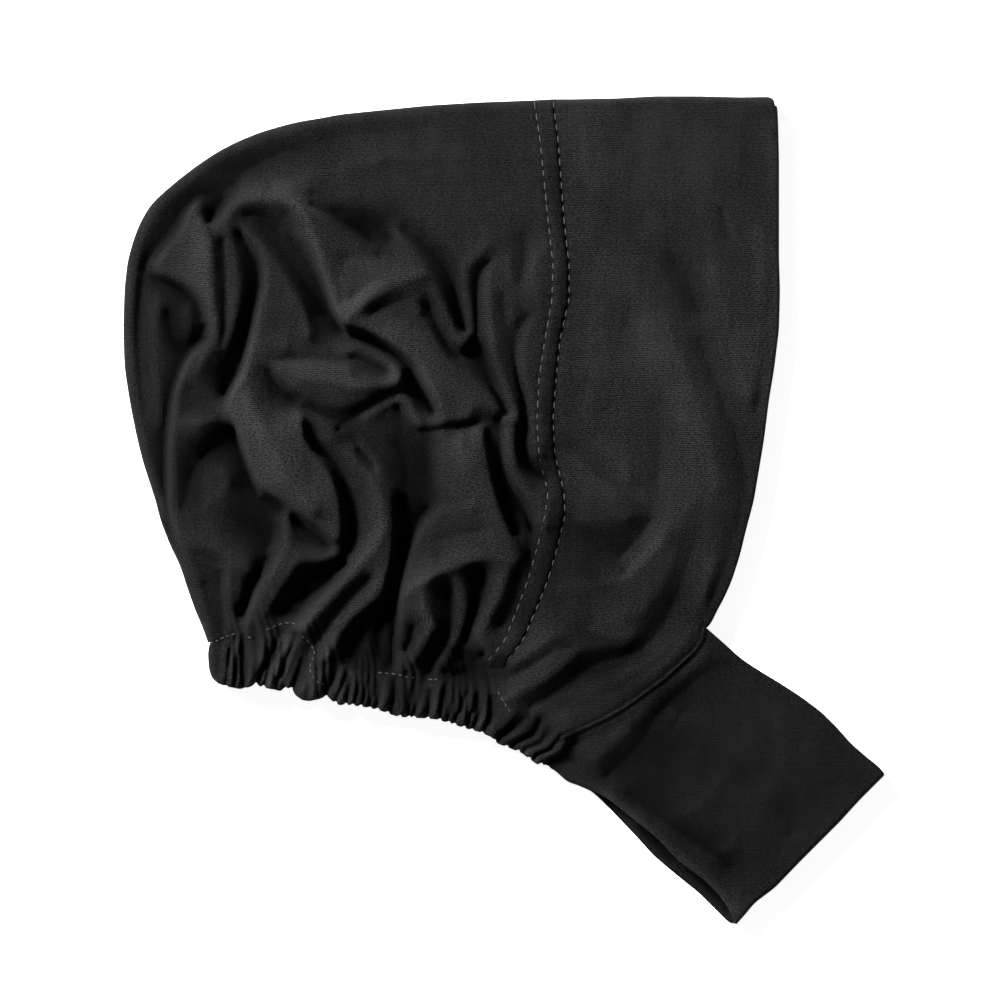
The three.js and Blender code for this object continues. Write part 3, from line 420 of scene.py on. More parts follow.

# Broad patches of painted shade, and of painted light where the share passes one: x, y, reach across, reach
# along, how much shows.
PAINTED_SHADING_PATCHES = [
    # in the crown
    (410, 470, 24, 36, 0.55), (252, 524, 30, 18, 0.60), (360, 228, 24, 14, 0.65), (366, 500, 16, 36, 0.80),
    (250, 300, 10, 60, 0.75), (200, 470, 22, 26, 0.80), (521, 548, 13, 30, 0.45), (486, 372, 14, 24, 0.70),
    (505, 490, 12, 26, 0.60), (232, 164, 34, 14, 0.50), (172, 216, 12, 24, 0.62), (196, 190, 18, 12, 0.66),
    (290, 150, 26, 9, 0.72), (215, 198, 20, 14, 0.62), (255, 222, 26, 20, 0.55), (252, 265, 16, 30, 0.60),
    (279, 318, 24, 44, 0.48), (282, 230, 20, 26, 0.62), (306, 290, 14, 18, 0.70), (350, 272, 30, 18, 0.78),
    (402, 312, 14, 16, 0.52), (376, 375, 16, 16, 0.52), (472, 372, 22, 20, 0.60), (200, 402, 24, 16, 0.62),
    (342, 432, 18, 18, 0.50), (308, 468, 16, 28, 0.58), (432, 498, 16, 20, 0.62), (432, 552, 18, 18, 0.68),
    (312, 400, 20, 12, 0.65), (385, 252, 26, 14, 0.66), (524, 615, 14, 24, 0.62), (165, 350, 15, 52, 1.50),
    (193, 432, 14, 16, 1.60), (196, 315, 12, 14, 1.40), (352, 222, 32, 10, 0.55), (345, 190, 52, 14, 1.35),
    (225, 492, 16, 14, 1.40), (325, 640, 24, 30, 1.45), (435, 590, 26, 40, 1.50),
    # in the band
    (583, 560, 30, 48, 0.62), (605, 522, 45, 20, 0.62), (615, 652, 50, 17, 0.50), (558, 668, 26, 20, 0.62),
    (664, 612, 26, 36, 0.58), (636, 688, 58, 26, 0.62), (712, 606, 22, 36, 0.70), (682, 290, 16, 34, 0.78),
    (722, 240, 12, 36, 0.80), (612, 214, 30, 22, 0.86), (552, 585, 14, 42, 0.55), (672, 588, 18, 26, 0.62),
    (600, 668, 30, 16, 0.55), (580, 590, 22, 26, 0.75), (615, 645, 30, 14, 0.70), (768, 140, 16, 60, 1.22),
    (770, 250, 16, 60, 1.26), (766, 340, 16, 60, 1.42), (758, 410, 18, 40, 1.35), (706, 415, 20, 40, 1.22),
    # in the strap
    (642, 748, 36, 26, 0.70), (690, 838, 46, 18, 0.80), (560, 702, 26, 12, 0.50), (715, 868, 22, 14, 0.82),
    (612, 732, 22, 12, 1.35), (642, 704, 18, 12, 1.35),
    # in the ruffles by the casing
    (384, 655, 26, 30, 0.60), (468, 668, 28, 18, 0.50), (492, 672, 20, 18, 0.52), (525, 680, 20, 16, 0.66),
]

# Creases of the ruffled casing, from its stitch line to its edge.
CREASES = [
    [(224, 637), (220, 652), (220, 677)],
    [(234, 640), (229, 660), (227, 684)],
    [(243, 641), (239, 657), (234, 682)],
    [(244, 653), (243, 669), (245, 685)],
    [(284, 627), (274, 652), (256, 683)],
    [(283, 645), (272, 663), (264, 686)],
    [(298, 633), (289, 655), (276, 686)],
    [(299, 645), (293, 664), (285, 687)],
    [(303, 658), (299, 671), (293, 687)],
    [(340, 664), (334, 680), (326, 695)],
    [(348, 672), (342, 687), (336, 702)],
    [(354, 672), (350, 689), (346, 704)],
    [(363, 672), (359, 688), (353, 705)],
    [(369, 676), (366, 691), (361, 706)],
    [(376, 674), (374, 693), (370, 708)],
    [(381, 676), (380, 690), (378, 708)],
    [(396, 676), (395, 697), (388, 712)],
    [(399, 680), (398, 699), (400, 716)],
    [(412, 688), (411, 702), (409, 717)],
    [(421, 680), (419, 700), (414, 717)],
    [(431, 690), (430, 703), (428, 718)],
    [(446, 682), (443, 697), (440, 719)],
    [(453, 690), (453, 702), (449, 721)],
    [(468, 690), (462, 704), (455, 723)],
    [(478, 692), (475, 708), (464, 727)],
    [(485, 694), (481, 712), (472, 730)],
    [(491, 696), (490, 716), (482, 733)],
    [(529, 716), (512, 729), (496, 739)],
    [(541, 717), (534, 734), (507, 745)],
    [(550, 730), (540, 744), (518, 751)],
    [(562, 736), (550, 750), (530, 757)],
    [(572, 738), (564, 752), (541, 763)],
]

# The raised seam between the crown and the band: its two stitch rows, x for each y.
SEAM_Y = [100, 140, 180, 220, 265, 300, 340, 380, 420, 455, 492, 515, 545, 580, 610, 640, 662]
ROW_LEFT = [534, 540, 544, 548, 553, 552, 545, 539, 537, 539, 548, 545, 538, 528, 517, 505, 487]
ROW_RIGHT = [553, 558, 561, 564, 569, 569, 560, 556, 553, 555, 564, 565, 558, 548, 536, 523, 506]

# The line of the strap's seam, from the face down to the neck.
STRAP_SEAM = [
    (704, 628), (702, 640), (694, 652), (680, 664), (665, 678), (650, 689), (635, 700), (615, 713),
    (597, 722), (580, 730), (562, 737),
]

# The stitch line of the casing, from the back of the head to the strap.
HEM = [
    (231, 635), (260, 637), (300, 644), (345, 656), (401, 670), (450, 678), (498, 688), (531, 707),
    (563, 732),
]


def run_of(line):
    """How far along a line each of its places is."""
    return np.concatenate([[0], np.cumsum(np.hypot(*np.diff(line, axis=0).T))])


def between(line, marks, at):
    """Places on a line at other marks than those of its own places."""
    return np.stack([np.interp(at, marks, line[:, k]) for k in (0, 1)], axis=1)


def along(line, step=0.5):
    """Places along a line, about step pixels apart."""
    line = np.array(line, float)
    run = run_of(line)
    return between(line, run, np.linspace(0, run[-1], int(run[-1] / step) + 2))


def bell(off, half):
    """One where off is nought, falling away to either side over about half."""
    return np.exp(-((off / half) ** 2))


def blurred(field, sigma):
    """The field with its details smaller than sigma pixels smoothed away."""
    reach = int(3 * sigma) + 1
    weights = np.exp(-0.5 * (np.arange(-reach, reach + 1) / sigma) ** 2)
    weights /= weights.sum()
    for axis in (0, 1):
        padded = np.pad(field, [(reach, reach) if k == axis else (0, 0) for k in (0, 1)], mode="edge")
        size = field.shape[axis]
        field = sum(w * np.take(padded, range(i, i + size), axis=axis) for i, w in enumerate(weights))
    return field


def relaxed(strokes, rounds=60):
    """The surface that hangs between the strokes, like a skin over wires, worked out coarse to fine."""
    height, width = Y1 - Y0, X1 - X0
    total, count = np.zeros((height, width)), np.zeros((height, width))
    for start, end, line in strokes:
        places = along(line)
        column, row = np.rint(places - (X0, Y0)).astype(int).T
        np.add.at(total, (row, column), np.linspace(start, end, len(places)))
        np.add.at(count, (row, column), 1)
    surface = None
    for cell in (16, 8, 4, 2, 1):
        cells = (height // cell, cell, width // cell, cell)
        sums, counts = total.reshape(cells).sum(axis=(1, 3)), count.reshape(cells).sum(axis=(1, 3))
        held, value = counts > 0, sums / np.maximum(counts, 1)
        if surface is None:
            surface = np.full(sums.shape, total.sum() / count.sum())
        else:
            surface = surface.repeat(2, axis=0).repeat(2, axis=1)
        for _ in range(rounds if cell > 1 else rounds // 2):
            p = np.pad(surface, 1, mode="edge")
            surface = (p[:-2, 1:-1] + p[2:, 1:-1] + p[1:-1, :-2] + p[1:-1, 2:]) / 4
            surface[held] = value[held]
    return surface


def rolled(field, radius, step=1):
    """The field with its crests and hollows rounded, as if a ball rolled along both sides of the cloth."""
    reach = range(-radius, radius + 1, step)
    ball = [(i, j, MM_PER_PIXEL * (radius - math.sqrt(radius**2 - i * i - j * j)))
            for i in reach for j in reach if i * i + j * j < radius**2]
    height, width = field.shape
    for sign, pick in ((-1, np.minimum), (1, np.maximum)):
        padded = np.pad(field, radius, mode="edge")
        field = None
        for i, j, drop in ball:
            top, left = radius + i, radius + j
            moved = padded[top : top + height, left : left + width] - sign * drop
            field = moved if field is None else pick(field, moved)
    return field


# The folds, as strokes of height and of painted shading.
SHADING_FALL, MOST_SHADING = 2.1, 1.2  # how soon the painted shade darkens below a crest, and the most painted light that shows
strokes, naps = [], []
for folds, boldness, middle, black, full_height, share in LAYS:
    for _, *ends, line in folds:
        strokes.append((*(middle + boldness * (z - middle) for z in ends), line))
        shown = (min(max((z - black) / (full_height - black), 0), 1) for z in ends)
        naps.append((*(share * s**SHADING_FALL for s in shown), line))
naps += [(share, share, line) for share, line in PAINTED_SHADING_LINES]

# The casing's ruffles. A crease sinks, and a ruffle rises, by so much for each pixel from crease to crease.
CASING_LEVEL, CREASE_SINKS, RUFFLE_RISES = 13.8, 0.13, 0.11
NARROW_RUFFLE, WIDE_RUFFLE, FLAT_STRETCH = 6, 16, 40  # pixels: one crest, the most that counts, none
PAINTED_LIT_RUFFLES = 9  # the first ones, given painted light as they face the light
CREASE_PAINTED_SHADE = (0.14, 0.07)  # painted shade in the creases, at the stitches and at the edge
widths = [abs(b[1][0] - a[1][0]) for a, b in zip(CREASES, CREASES[1:])]
for k, line in enumerate(CREASES):
    beside = (widths[max(k - 1, 0)] + widths[min(k, len(widths) - 1)]) / 2
    low = CASING_LEVEL - CREASE_SINKS * min(WIDE_RUFFLE, beside)
    strokes.append((low + 0.5, low - 0.5 + 0.4 * math.sin(2.7 * k), line))
    naps.append((*CREASE_PAINTED_SHADE, line))
for k, (a, b) in enumerate(zip(CREASES, CREASES[1:])):
    if widths[k] >= FLAT_STRETCH:
        continue
    high = CASING_LEVEL + RUFFLE_RISES * min(WIDE_RUFFLE, widths[k]) + 0.35 * math.sin(2.3 * k)
    # Painted light along each ruffle's crests, more on the first ones.
    painted_light = 0.6 + 0.25 * math.sin(1.3 * k + 1) + 0.3 * (k < PAINTED_LIT_RUFFLES)
    for share in (0.34, 0.68) if widths[k] > NARROW_RUFFLE else (0.5,):
        crest = [tuple(np.array(p) * (1 - share) + np.array(q) * share) for p, q in zip(a, b)]
        strokes.append((high - 1.0 - 0.3 * share, high + 0.2 - 0.6 * share, crest))
        naps.append((painted_light * 0.7, painted_light * (1.3 - 0.6 * share), crest))

# The hanging surface, its folds rounded as thick soft cloth and its ruffles a little sharper.
FOLD_RADIUS, RUFFLE_RADIUS = 6, 3  # pixels
y, x = np.mgrid[Y0:Y1, X0:X1]
hem_y = np.interp(x, *np.array(HEM, float).T)
in_casing = np.clip((y - hem_y) / 6, 0, 1) * (x < HEM[-1][0] + 3)
hung = relaxed(strokes)
soft, sharp = blurred(rolled(hung, FOLD_RADIUS, 2), 0.9), blurred(rolled(hung, RUFFLE_RADIUS), 0.7)
LIE = soft * (1 - in_casing) + sharp * in_casing
# The painted shading: painted shade in the hollows and painted light on the crests, then its patches.
PAINTED_LIGHT_AND_SHADE = blurred(relaxed(naps), 2)
for patch_x, patch_y, wide, tall, share in PAINTED_SHADING_PATCHES:
    PAINTED_LIGHT_AND_SHADE *= 1 - (1 - share) * bell(x - patch_x, wide) * bell(y - patch_y, tall)
PAINTED_LIGHT_AND_SHADE = np.minimum(PAINTED_LIGHT_AND_SHADE, MOST_SHADING)

# Fine gathers run up from the casing's stitch line and fade out.
GATHER_PITCH, GATHER_REACH = 10.5, 20  # pixels
GATHER_HEIGHT = 0.55
GATHERED = (210, 500)  # x at the ends of the gathered stretch
above = np.clip(hem_y - y, 0, None)
wander = 0.5 * np.sin(x / 19) + 0.4 * np.sin(x / 7.3 + above / 23)
phase = (x + 0.3 * above) / GATHER_PITCH + wander
fade = np.clip((x - GATHERED[0]) / 30, 0, 1) * np.clip((GATHERED[1] - x) / 15, 0, 1)
LIE += GATHER_HEIGHT * np.sin(math.tau * phase) * np.exp(-above / GATHER_REACH) * fade

# The crown seam lies under a raised strip that falls to its right row, puckered by the stitches, with
# painted shade towards its right row and along both rows.
STITCH_PITCH = 11.6  # pixels
STRIP_HEIGHT, STRIP_FALL = 1.3, 1.0  # at its left row, and from there to its right row
PUCKER_HEIGHT = 0.18
left, right = np.interp(y, SEAM_Y, ROW_LEFT), np.interp(y, SEAM_Y, ROW_RIGHT)
across, sewn = (x - left) / (right - left), y < SEAM_Y[-1] + 5
strip = ((across > 0) & (across < 1) & sewn).astype(float)
LIE += blurred(strip * (STRIP_HEIGHT - STRIP_FALL * np.clip(across, 0, 1)), 1.2)
PAINTED_LIGHT_AND_SHADE *= 1 - blurred(strip * np.clip(across * 1.6 - 0.5, 0, 1), 1) * np.clip((y - 120) / 140, 0, 0.6)
for row, sunk in ((left, 0.65), (right, 0.5)):
    groove, shade, pucker = (bell(x - row, half) * sewn for half in (1.6, 2.4, 5))
    LIE += PUCKER_HEIGHT * pucker * np.sin(math.tau * y / STITCH_PITCH) - sunk * groove
    PAINTED_LIGHT_AND_SHADE *= 1 - 0.5 * shade

# The seam of the strap stands up between two sunk lines, darkened with painted shade.
STRAP_BOX = np.s_[530:672, 446:626]  # rows and columns of the field round that seam
SEAM_HEIGHT, LINE_DEPTH = 0.3, 0.5
LINE_OFFSET = 3.2  # pixels from the seam
places = np.stack([x[STRAP_BOX], y[STRAP_BOX]], axis=2)[:, :, None]
off = np.hypot(*np.moveaxis(places - along(STRAP_SEAM, 2), 3, 0)).min(axis=2)
PAINTED_LIGHT_AND_SHADE[STRAP_BOX] *= 1 - 0.75 * bell(off - LINE_OFFSET, 1.2)
LIE[STRAP_BOX] += SEAM_HEIGHT * bell(off, 2.4) - LINE_DEPTH * bell(off - LINE_OFFSET, 1.1)

# The crown: one panel of single jersey from ear to ear, cut as one piece and gathered into the casing at
# the nape. It lies folded at the top and back of the head, the near layer heaped in deep soft folds and
# the far layer flat on the table, with the space for the head between them.
CROWN_RIM = [
    (553, 99), (535, 100), (480, 102), (430, 105), (380, 110), (340, 114), (320, 118), (300, 121),
    (280, 126), (260, 132), (240, 140), (220, 150), (200, 163), (180, 178), (160, 195), (150, 205),
    (140, 222), (133, 240), (127, 262), (124, 290), (123, 330), (124, 365), (126, 380), (130, 405),
    (136, 435), (142, 460), (150, 485), (155, 500), (160, 520), (170, 545), (180, 565), (188, 590),
    (195, 610), (203, 628), (208, 643),
]
CROWN_SEAM = [(498, 688), *zip(ROW_RIGHT[:0:-1], SEAM_Y[:0:-1]), (553, 99)]  # from the hem up
HEM_START = [(208, 643), (219, 638), (231, 635)]


def table(pixels):
    """Places on the table, still in pixels but from the frame's origin and with y up."""
    return (np.asarray(pixels, float) - ORIGIN) * (1, -1)


def evenly(line, step, soften=0.0):
    """A traced line as evenly spaced places on the table, with its corners rounded by soften."""
    line = table(line)
    run = run_of(line)
    points = between(line, run, np.linspace(0, run[-1], max(2, round(run[-1] / step) + 1)))
    if soften:
        reach = min(len(points) - 1, int(2.5 * soften / step) + 1)
        weights = np.exp(-0.5 * (np.arange(-reach, reach + 1) * step / soften) ** 2)
        weights /= weights.sum()
        before, after = 2 * points[0] - points[reach:0:-1], 2 * points[-1] - points[-2 : -reach - 2 : -1]
        padded = np.concatenate([before, points, after])
        points = sum(w * padded[k : k + len(points)] for k, w in enumerate(weights))
    # A hair off straight, so that no three places are in one line.
    points[1:-1] += 0.01 * np.sin(2.4 * np.arange(1, len(points) - 1))[:, None]
    return points


def look_up(field, places):
    """The field's value at places on the table."""
    x = np.clip(places[:, 0] + ORIGIN[0] - X0, 0, X1 - X0 - 1.001)
    y = np.clip(ORIGIN[1] - places[:, 1] - Y0, 0, Y1 - Y0 - 1.001)
    i, j = x.astype(int), y.astype(int)
    a, b = x - i, y - j
    return (
        field[j, i] * (1 - a) * (1 - b)
        + field[j, i + 1] * a * (1 - b)
        + field[j + 1, i] * (1 - a) * b
        + field[j + 1, i + 1] * a * b
    )


def inside(loop, spacing, margin):
    """Places of an even grid inside a closed loop, no nearer to it than margin."""
    low, high = loop.min(axis=0) - 2, loop.max(axis=0) + 2
    size = np.ceil((high - low) / spacing).astype(int)
    crossings = np.zeros(size[::-1] + 1, int)
    for (x0, y0), (x1, y1) in zip((loop - low) / spacing, (np.roll(loop, -1, axis=0) - low) / spacing):
        first, last = sorted((y0, y1))
        rows = np.arange(math.ceil(first), math.ceil(last))
        if len(rows):
            columns = np.ceil(x0 + (rows - y0) * (x1 - x0) / (y1 - y0)).astype(int)
            np.add.at(crossings, (rows, columns), 1)
    filled = np.cumsum(crossings, axis=1) % 2 == 1
    dense = np.concatenate([loop, (loop + np.roll(loop, -1, axis=0)) / 2])
    reach = int(margin / spacing) + 1
    for i in range(-reach, reach + 1):
        for j in range(-reach, reach + 1):
            cell = np.rint((dense - low) / spacing).astype(int) + (i, j)
            near = np.hypot(*((cell * spacing + low - dense).T)) < margin
            cell = cell[near & (cell >= 0).all(axis=1) & (cell <= size).all(axis=1)]
            filled[cell[:, 1], cell[:, 0]] = False
    rows, columns = np.nonzero(filled)
    return np.stack([columns, rows], axis=1) * spacing + low


def triangles_in(loop, spacing):
    """Triangles that fill a closed loop: their places, the loop's own first, and the corners of each."""
    places = np.concatenate([loop, inside(loop, spacing, 0.7 * spacing)])
    n = len(loop)
    edges = [(k, (k + 1) % n) for k in range(n)]
    points = [Vector(p) for p in places]
    _, _, faces, origin, _, _ = geometry.delaunay_2d_cdt(points, edges, [], 0, 1e-7, True)
    corners = np.array([o[0] for o in origin])[np.array(faces)]
    # Those that span a hollow of the loop go. They run against the loop, or have their middle outside.
    after = np.roll(corners, -1, axis=1)
    rim = (corners < n) & (after < n)
    with_loop = (rim & (after == (corners + 1) % n)).any(axis=1)
    against = (rim & (corners == (after + 1) % n)).any(axis=1)
    keep = (with_loop | (corners >= n).any(axis=1)) & ~against
    unsure = ~(keep | against)
    middle = places[corners[unsure]].mean(axis=1)[:, None]
    a, b = loop[None], np.roll(loop, -1, axis=0)[None]
    straddles = (a[..., 1] > middle[..., 1]) != (b[..., 1] > middle[..., 1])
    rise = np.where(a[..., 1] == b[..., 1], 1, b[..., 1] - a[..., 1])
    crossing = a[..., 0] + (middle[..., 1] - a[..., 1]) * (b[..., 0] - a[..., 0]) / rise
    keep[unsure] = (straddles & (crossing > middle[..., 0])).sum(axis=1) % 2 == 1
    return places, corners[keep]


# The inner side follows the lowest of the outer side nearby, so that the wall keeps its thickness.
WALL_REACH = 4  # pixels
UNDER = LIE
for axis in (0, 1):
    moved = [np.roll(UNDER, k, axis=axis) for k in range(-WALL_REACH, WALL_REACH + 1)]
    UNDER = np.min(moved, axis=0)

# Lengths along the cloth, so that the knit follows the folds.
slope_y, slope_x = (np.clip(slope, -1.2, 1.2) for slope in np.gradient(blurred(LIE, 7) / MM_PER_PIXEL))
CLOTH_U = np.cumsum(np.sqrt(1 + slope_x**2), axis=1)
CLOTH_V = np.cumsum(np.sqrt(1 + slope_y**2), axis=0)

FAR_COLOUR_SHARE, INNER_PAINTED_SHADE = 0.6, 0.14  # on the far layer, which is flat, and painted shade in the dark between the layers


def put(name, data):
    """A new object in the scene."""
    thing = bpy.data.objects.new(name, data)
    bpy.context.collection.objects.link(thing)
    return thing


class Cloth:
    """The places and faces of one piece as they are put together."""

    def __init__(self):
        self.places, self.faces, self.cloth, self.nap, self.count = [], [], [], [], 0

    def add(self, flat, z, mirrored=False, past=None):
        """Adds places at heights z in millimetres, and gives their numbers. past gives, for places that
        lie past an edge of the near layer, that edge and how far on the cloth they are."""
        z = np.broadcast_to(z, len(flat))
        self.places.append(np.column_stack([flat * PIXEL, z * 0.001]))
        edge, on = (flat, 0 * flat) if past is None else past
        u, v = look_up(CLOTH_U, edge) + on[:, 0], look_up(CLOTH_V, edge) - on[:, 1]
        self.cloth.append(np.column_stack([-flat[:, 0] if mirrored else u, -flat[:, 1] if mirrored else v]))
        self.nap.append(np.full(len(flat), FAR_COLOUR_SHARE) if mirrored else look_up(PAINTED_LIGHT_AND_SHADE, flat))
        self.count += len(flat)
        return np.arange(self.count - len(flat), self.count)

    def fill(self, numbers, corners, turned=False):
        """Triangles between numbered places."""
        faces = numbers[corners]
        self.faces += (faces[:, ::-1] if turned else faces).tolist()

    def strip(self, upper, lower):
        """Quads from one row of numbers to the next, facing right of the way that the rows run."""
        for a, b, c, d in zip(upper[:-1], lower[:-1], lower[1:], upper[1:]):
            self.faces.append([int(k) for k in dict.fromkeys((a, b, c, d))])

    def build(self, name, material):
        """The piece itself, with its lengths along the cloth and its painted shading."""
        mesh = bpy.data.meshes.new(name)
        mesh.from_pydata(np.concatenate(self.places).tolist(), [], [f for f in self.faces if len(f) > 2])
        uv = mesh.uv_layers.new(name="cloth")
        corner = np.empty(len(mesh.loops), int)
        mesh.loops.foreach_get("vertex_index", corner)
        uv.data.foreach_set("uv", (np.concatenate(self.cloth)[corner] * PIXEL).ravel())
        mesh.attributes.new("nap", "FLOAT", "POINT").data.foreach_set("value", np.concatenate(self.nap))
        mesh.shade_smooth()
        mesh.set_sharp_from_angle(angle=math.radians(60))
        mesh.materials.append(material)
        return put(name, mesh)


def trimmed(edge, cut):
    """An edge without its first and last cut pixels."""
    run = run_of(edge)
    ends = between(edge, run, (cut, run[-1] - cut))
    middle = edge[(run > cut + 0.5) & (run < run[-1] - cut - 0.5)]
    return np.concatenate([ends[:1], middle, ends[1:]])


def leftwards(line):
    """The way to the left, one pixel long, at each place of a line."""
    way = np.gradient(line, axis=0)
    return np.stack([-way[:, 1], way[:, 0]], axis=1) / np.hypot(*way.T)[:, None]


ROLL_STEPS, EDGE_STEPS = 9, 3  # faces round a fold from layer to layer, and round a cut edge
NEAR_SPACING, INNER_SPACING, FAR_SPACING = 1.8, 5, 8  # pixels between the places of a layer
FOLD_FADE = 30  # pixels over which a fold line meets the edges at its ends


def folded_sheet(name, rim, near_edge, far_edge, wall, roll, swells, material):
    """A sheet folded over on itself along its rim, with a wall in millimetres and a fold that takes roll
    pixels of its plan. Each edge runs on from the rim's end back to its start, and the cloth lies to the
    left of the way they run. swells says how far each edge is rounded out, as shares of the wall."""
    near, far = trimmed(near_edge, roll), trimmed(far_edge, roll)
    inward, run = leftwards(rim), run_of(rim)

    def fold_line(edge):
        line = rim + inward * roll
        start, end = edge[-1] - line[0], edge[0] - line[-1]
        at_start, at_end = (np.clip(1 - d / FOLD_FADE, 0, 1)[:, None] for d in (run, run[-1] - run))
        return line + start * at_start + end * at_end

    near_fold, far_fold = fold_line(near), fold_line(far)
    n = len(rim)
    near_loop = np.concatenate([near_fold, near[1:-1]])
    far_loop = np.concatenate([far_fold, far[1:-1]])
    cloth = Cloth()
    flat, corners = triangles_in(near_loop, NEAR_SPACING)
    near_out = cloth.add(flat, look_up(LIE, flat))
    cloth.fill(near_out, corners)
    flat, corners = triangles_in(near_loop, INNER_SPACING)
    near_in = cloth.add(flat, look_up(UNDER, flat) - wall)
    cloth.fill(near_in, corners, turned=True)
    flat, corners = triangles_in(far_loop, FAR_SPACING)
    far_out = cloth.add(flat, 0, mirrored=True)
    cloth.fill(far_out, corners, turned=True)
    far_in = cloth.add(flat, wall, mirrored=True)
    # Painted shade on the inner side of the far layer, in the dark between the layers.
    cloth.nap[-1][len(far_loop) :] = INNER_PAINTED_SHADE
    cloth.fill(far_in, corners)

    # Round the fold, outside and inside.
    top, under = look_up(LIE, near_fold), look_up(UNDER, near_fold) - wall
    sides = []
    for first, last, high, low, thin in (
        (near_out, far_out, top, 0 * top, 0),
        (near_in, far_in, under, 0 * top + wall, wall / MM_PER_PIXEL),
    ):
        rows = [first[:n]]
        for step in range(1, ROLL_STEPS):
            angle = math.pi * (0.5 - step / ROLL_STEPS)
            share = 0.5 - 0.5 * math.sin(angle)
            fold = near_fold * (1 - share) + far_fold * share
            reach = (rim - fold) * math.cos(angle) * (1 - thin / roll)
            on = -inward * ((math.pi / 2 - angle) * (roll + (high - low) / (2 * MM_PER_PIXEL)) / 2)[:, None]
            height = (high + low) / 2 + (high - low) / 2 * math.sin(angle)
            rows.append(cloth.add(fold + reach, height, past=(near_fold, on)))
        sides.append([*rows, last[:n]])
    outer, inner = sides
    for upper, lower in zip(outer[:-1], outer[1:]):
        cloth.strip(upper, lower)
    for upper, lower in zip(inner[:-1], inner[1:]):
        cloth.strip(lower, upper)

    # Along the cut edges: the near layer back to the rim's start, down the fold, the far layer and up.
    def chain(rows, near_numbers, far_numbers):
        near_part = [near_numbers[n - 1], *near_numbers[n : len(near_loop)], near_numbers[0]]
        far_part = [far_numbers[n - 1], *far_numbers[n : len(far_loop)], far_numbers[0]]
        down = [row[0] for row in rows[1:-1]]
        up = [row[-1] for row in rows[-2:0:-1]]
        return np.array([*near_part, *down, *far_part[::-1], *up, near_part[0]])

    def outwards(edge, swell):
        at_places, at_swells = np.linspace(0, 1, len(edge)), np.linspace(0, 1, len(swell))
        return -leftwards(edge) * np.interp(at_places, at_swells, swell)[:, None]

    out_near, out_far = outwards(near, swells[0]), outwards(far, swells[1])
    at_fold = [np.repeat(out_near[k], ROLL_STEPS - 1, axis=0) for k in (np.s_[-1:], np.s_[:1])]
    aside = np.concatenate([out_near, at_fold[0], out_far[::-1], at_fold[1], out_near[:1]])
    out_chain, in_chain = chain(outer, near_out, far_out), chain(inner, near_in, far_in)
    places = np.concatenate(cloth.places)
    rows = [out_chain]
    for step in range(1, EDGE_STEPS):
        share = step / EDGE_STEPS
        middle = places[out_chain] * (1 - share) + places[in_chain] * share
        swell = wall / MM_PER_PIXEL * math.sin(math.pi * share)
        row = cloth.add((middle[:, :2] / PIXEL + aside * swell)[:-1], middle[:-1, 2] * 1000)
        rows.append(np.append(row, row[0]))
    rows.append(in_chain)
    for upper, lower in zip(rows[:-1], rows[1:]):
        cloth.strip(upper, lower)
    return cloth.build(name, material)


class Wire:
    """One output of a node, with the usual arithmetic."""

    def __init__(self, tree, socket=None):
        self.tree, self.socket = tree, socket

    def node(self, kind, *inputs, at=None, out=0, **settings):
        """Makes a node, sets it, feeds its first inputs and those given by place or name in at with
        wires or values, and gives the wire of its output."""
        node = self.tree.nodes.new(kind)
        for name, value in settings.items():
            setattr(node, name, value)
        for place, value in [*enumerate(inputs), *(at or {}).items()]:
            if isinstance(value, Wire):
                value.into(node, place)
            elif value is not None:
                node.inputs[place].default_value = value
        return Wire(self.tree, node.outputs[out])

    def into(self, node, place):
        """Feeds an input of a node."""
        self.tree.links.new(self.socket, node.inputs[place])

    def maths(self, operation, other=None):
        """One step of arithmetic on the wire."""
        return self.node("ShaderNodeMath", self, other, operation=operation)

    def __add__(self, other):
        return self.maths("ADD", other)

    def __sub__(self, other):
        return self.maths("SUBTRACT", other)

    def __rsub__(self, other):
        return self.node("ShaderNodeMath", other, self, operation="SUBTRACT")

    def __mul__(self, other):
        return self.maths("MULTIPLY", other)

    def __truediv__(self, other):
        return self.maths("DIVIDE", other)

    def __rtruediv__(self, other):
        return self.node("ShaderNodeMath", other, self, operation="DIVIDE")

    __radd__, __rmul__ = __add__, __mul__


def surface(name, **settings):
    """A material with its shader set, a wire to start its graph from, and the shader."""
    material = bpy.data.materials.new(name)
    material.use_nodes = True
    shader = material.node_tree.nodes["Principled BSDF"]
    for words, value in settings.items():
        shader.inputs[words.replace("_", " ")].default_value = value
    return material, Wire(material.node_tree), shader


WORN_BLACK = (0.0168, 0.0166, 0.0166)  # of the crown, the band and the casing
WALE, COURSE = 0.00062, 0.00075  # metres from one column of loops to the next, and from row to row
KNIT_DEPTH, RUMPLE_DEPTH, STREAK_DEPTH = 0.00012, 0.0007, 0.0009  # metres


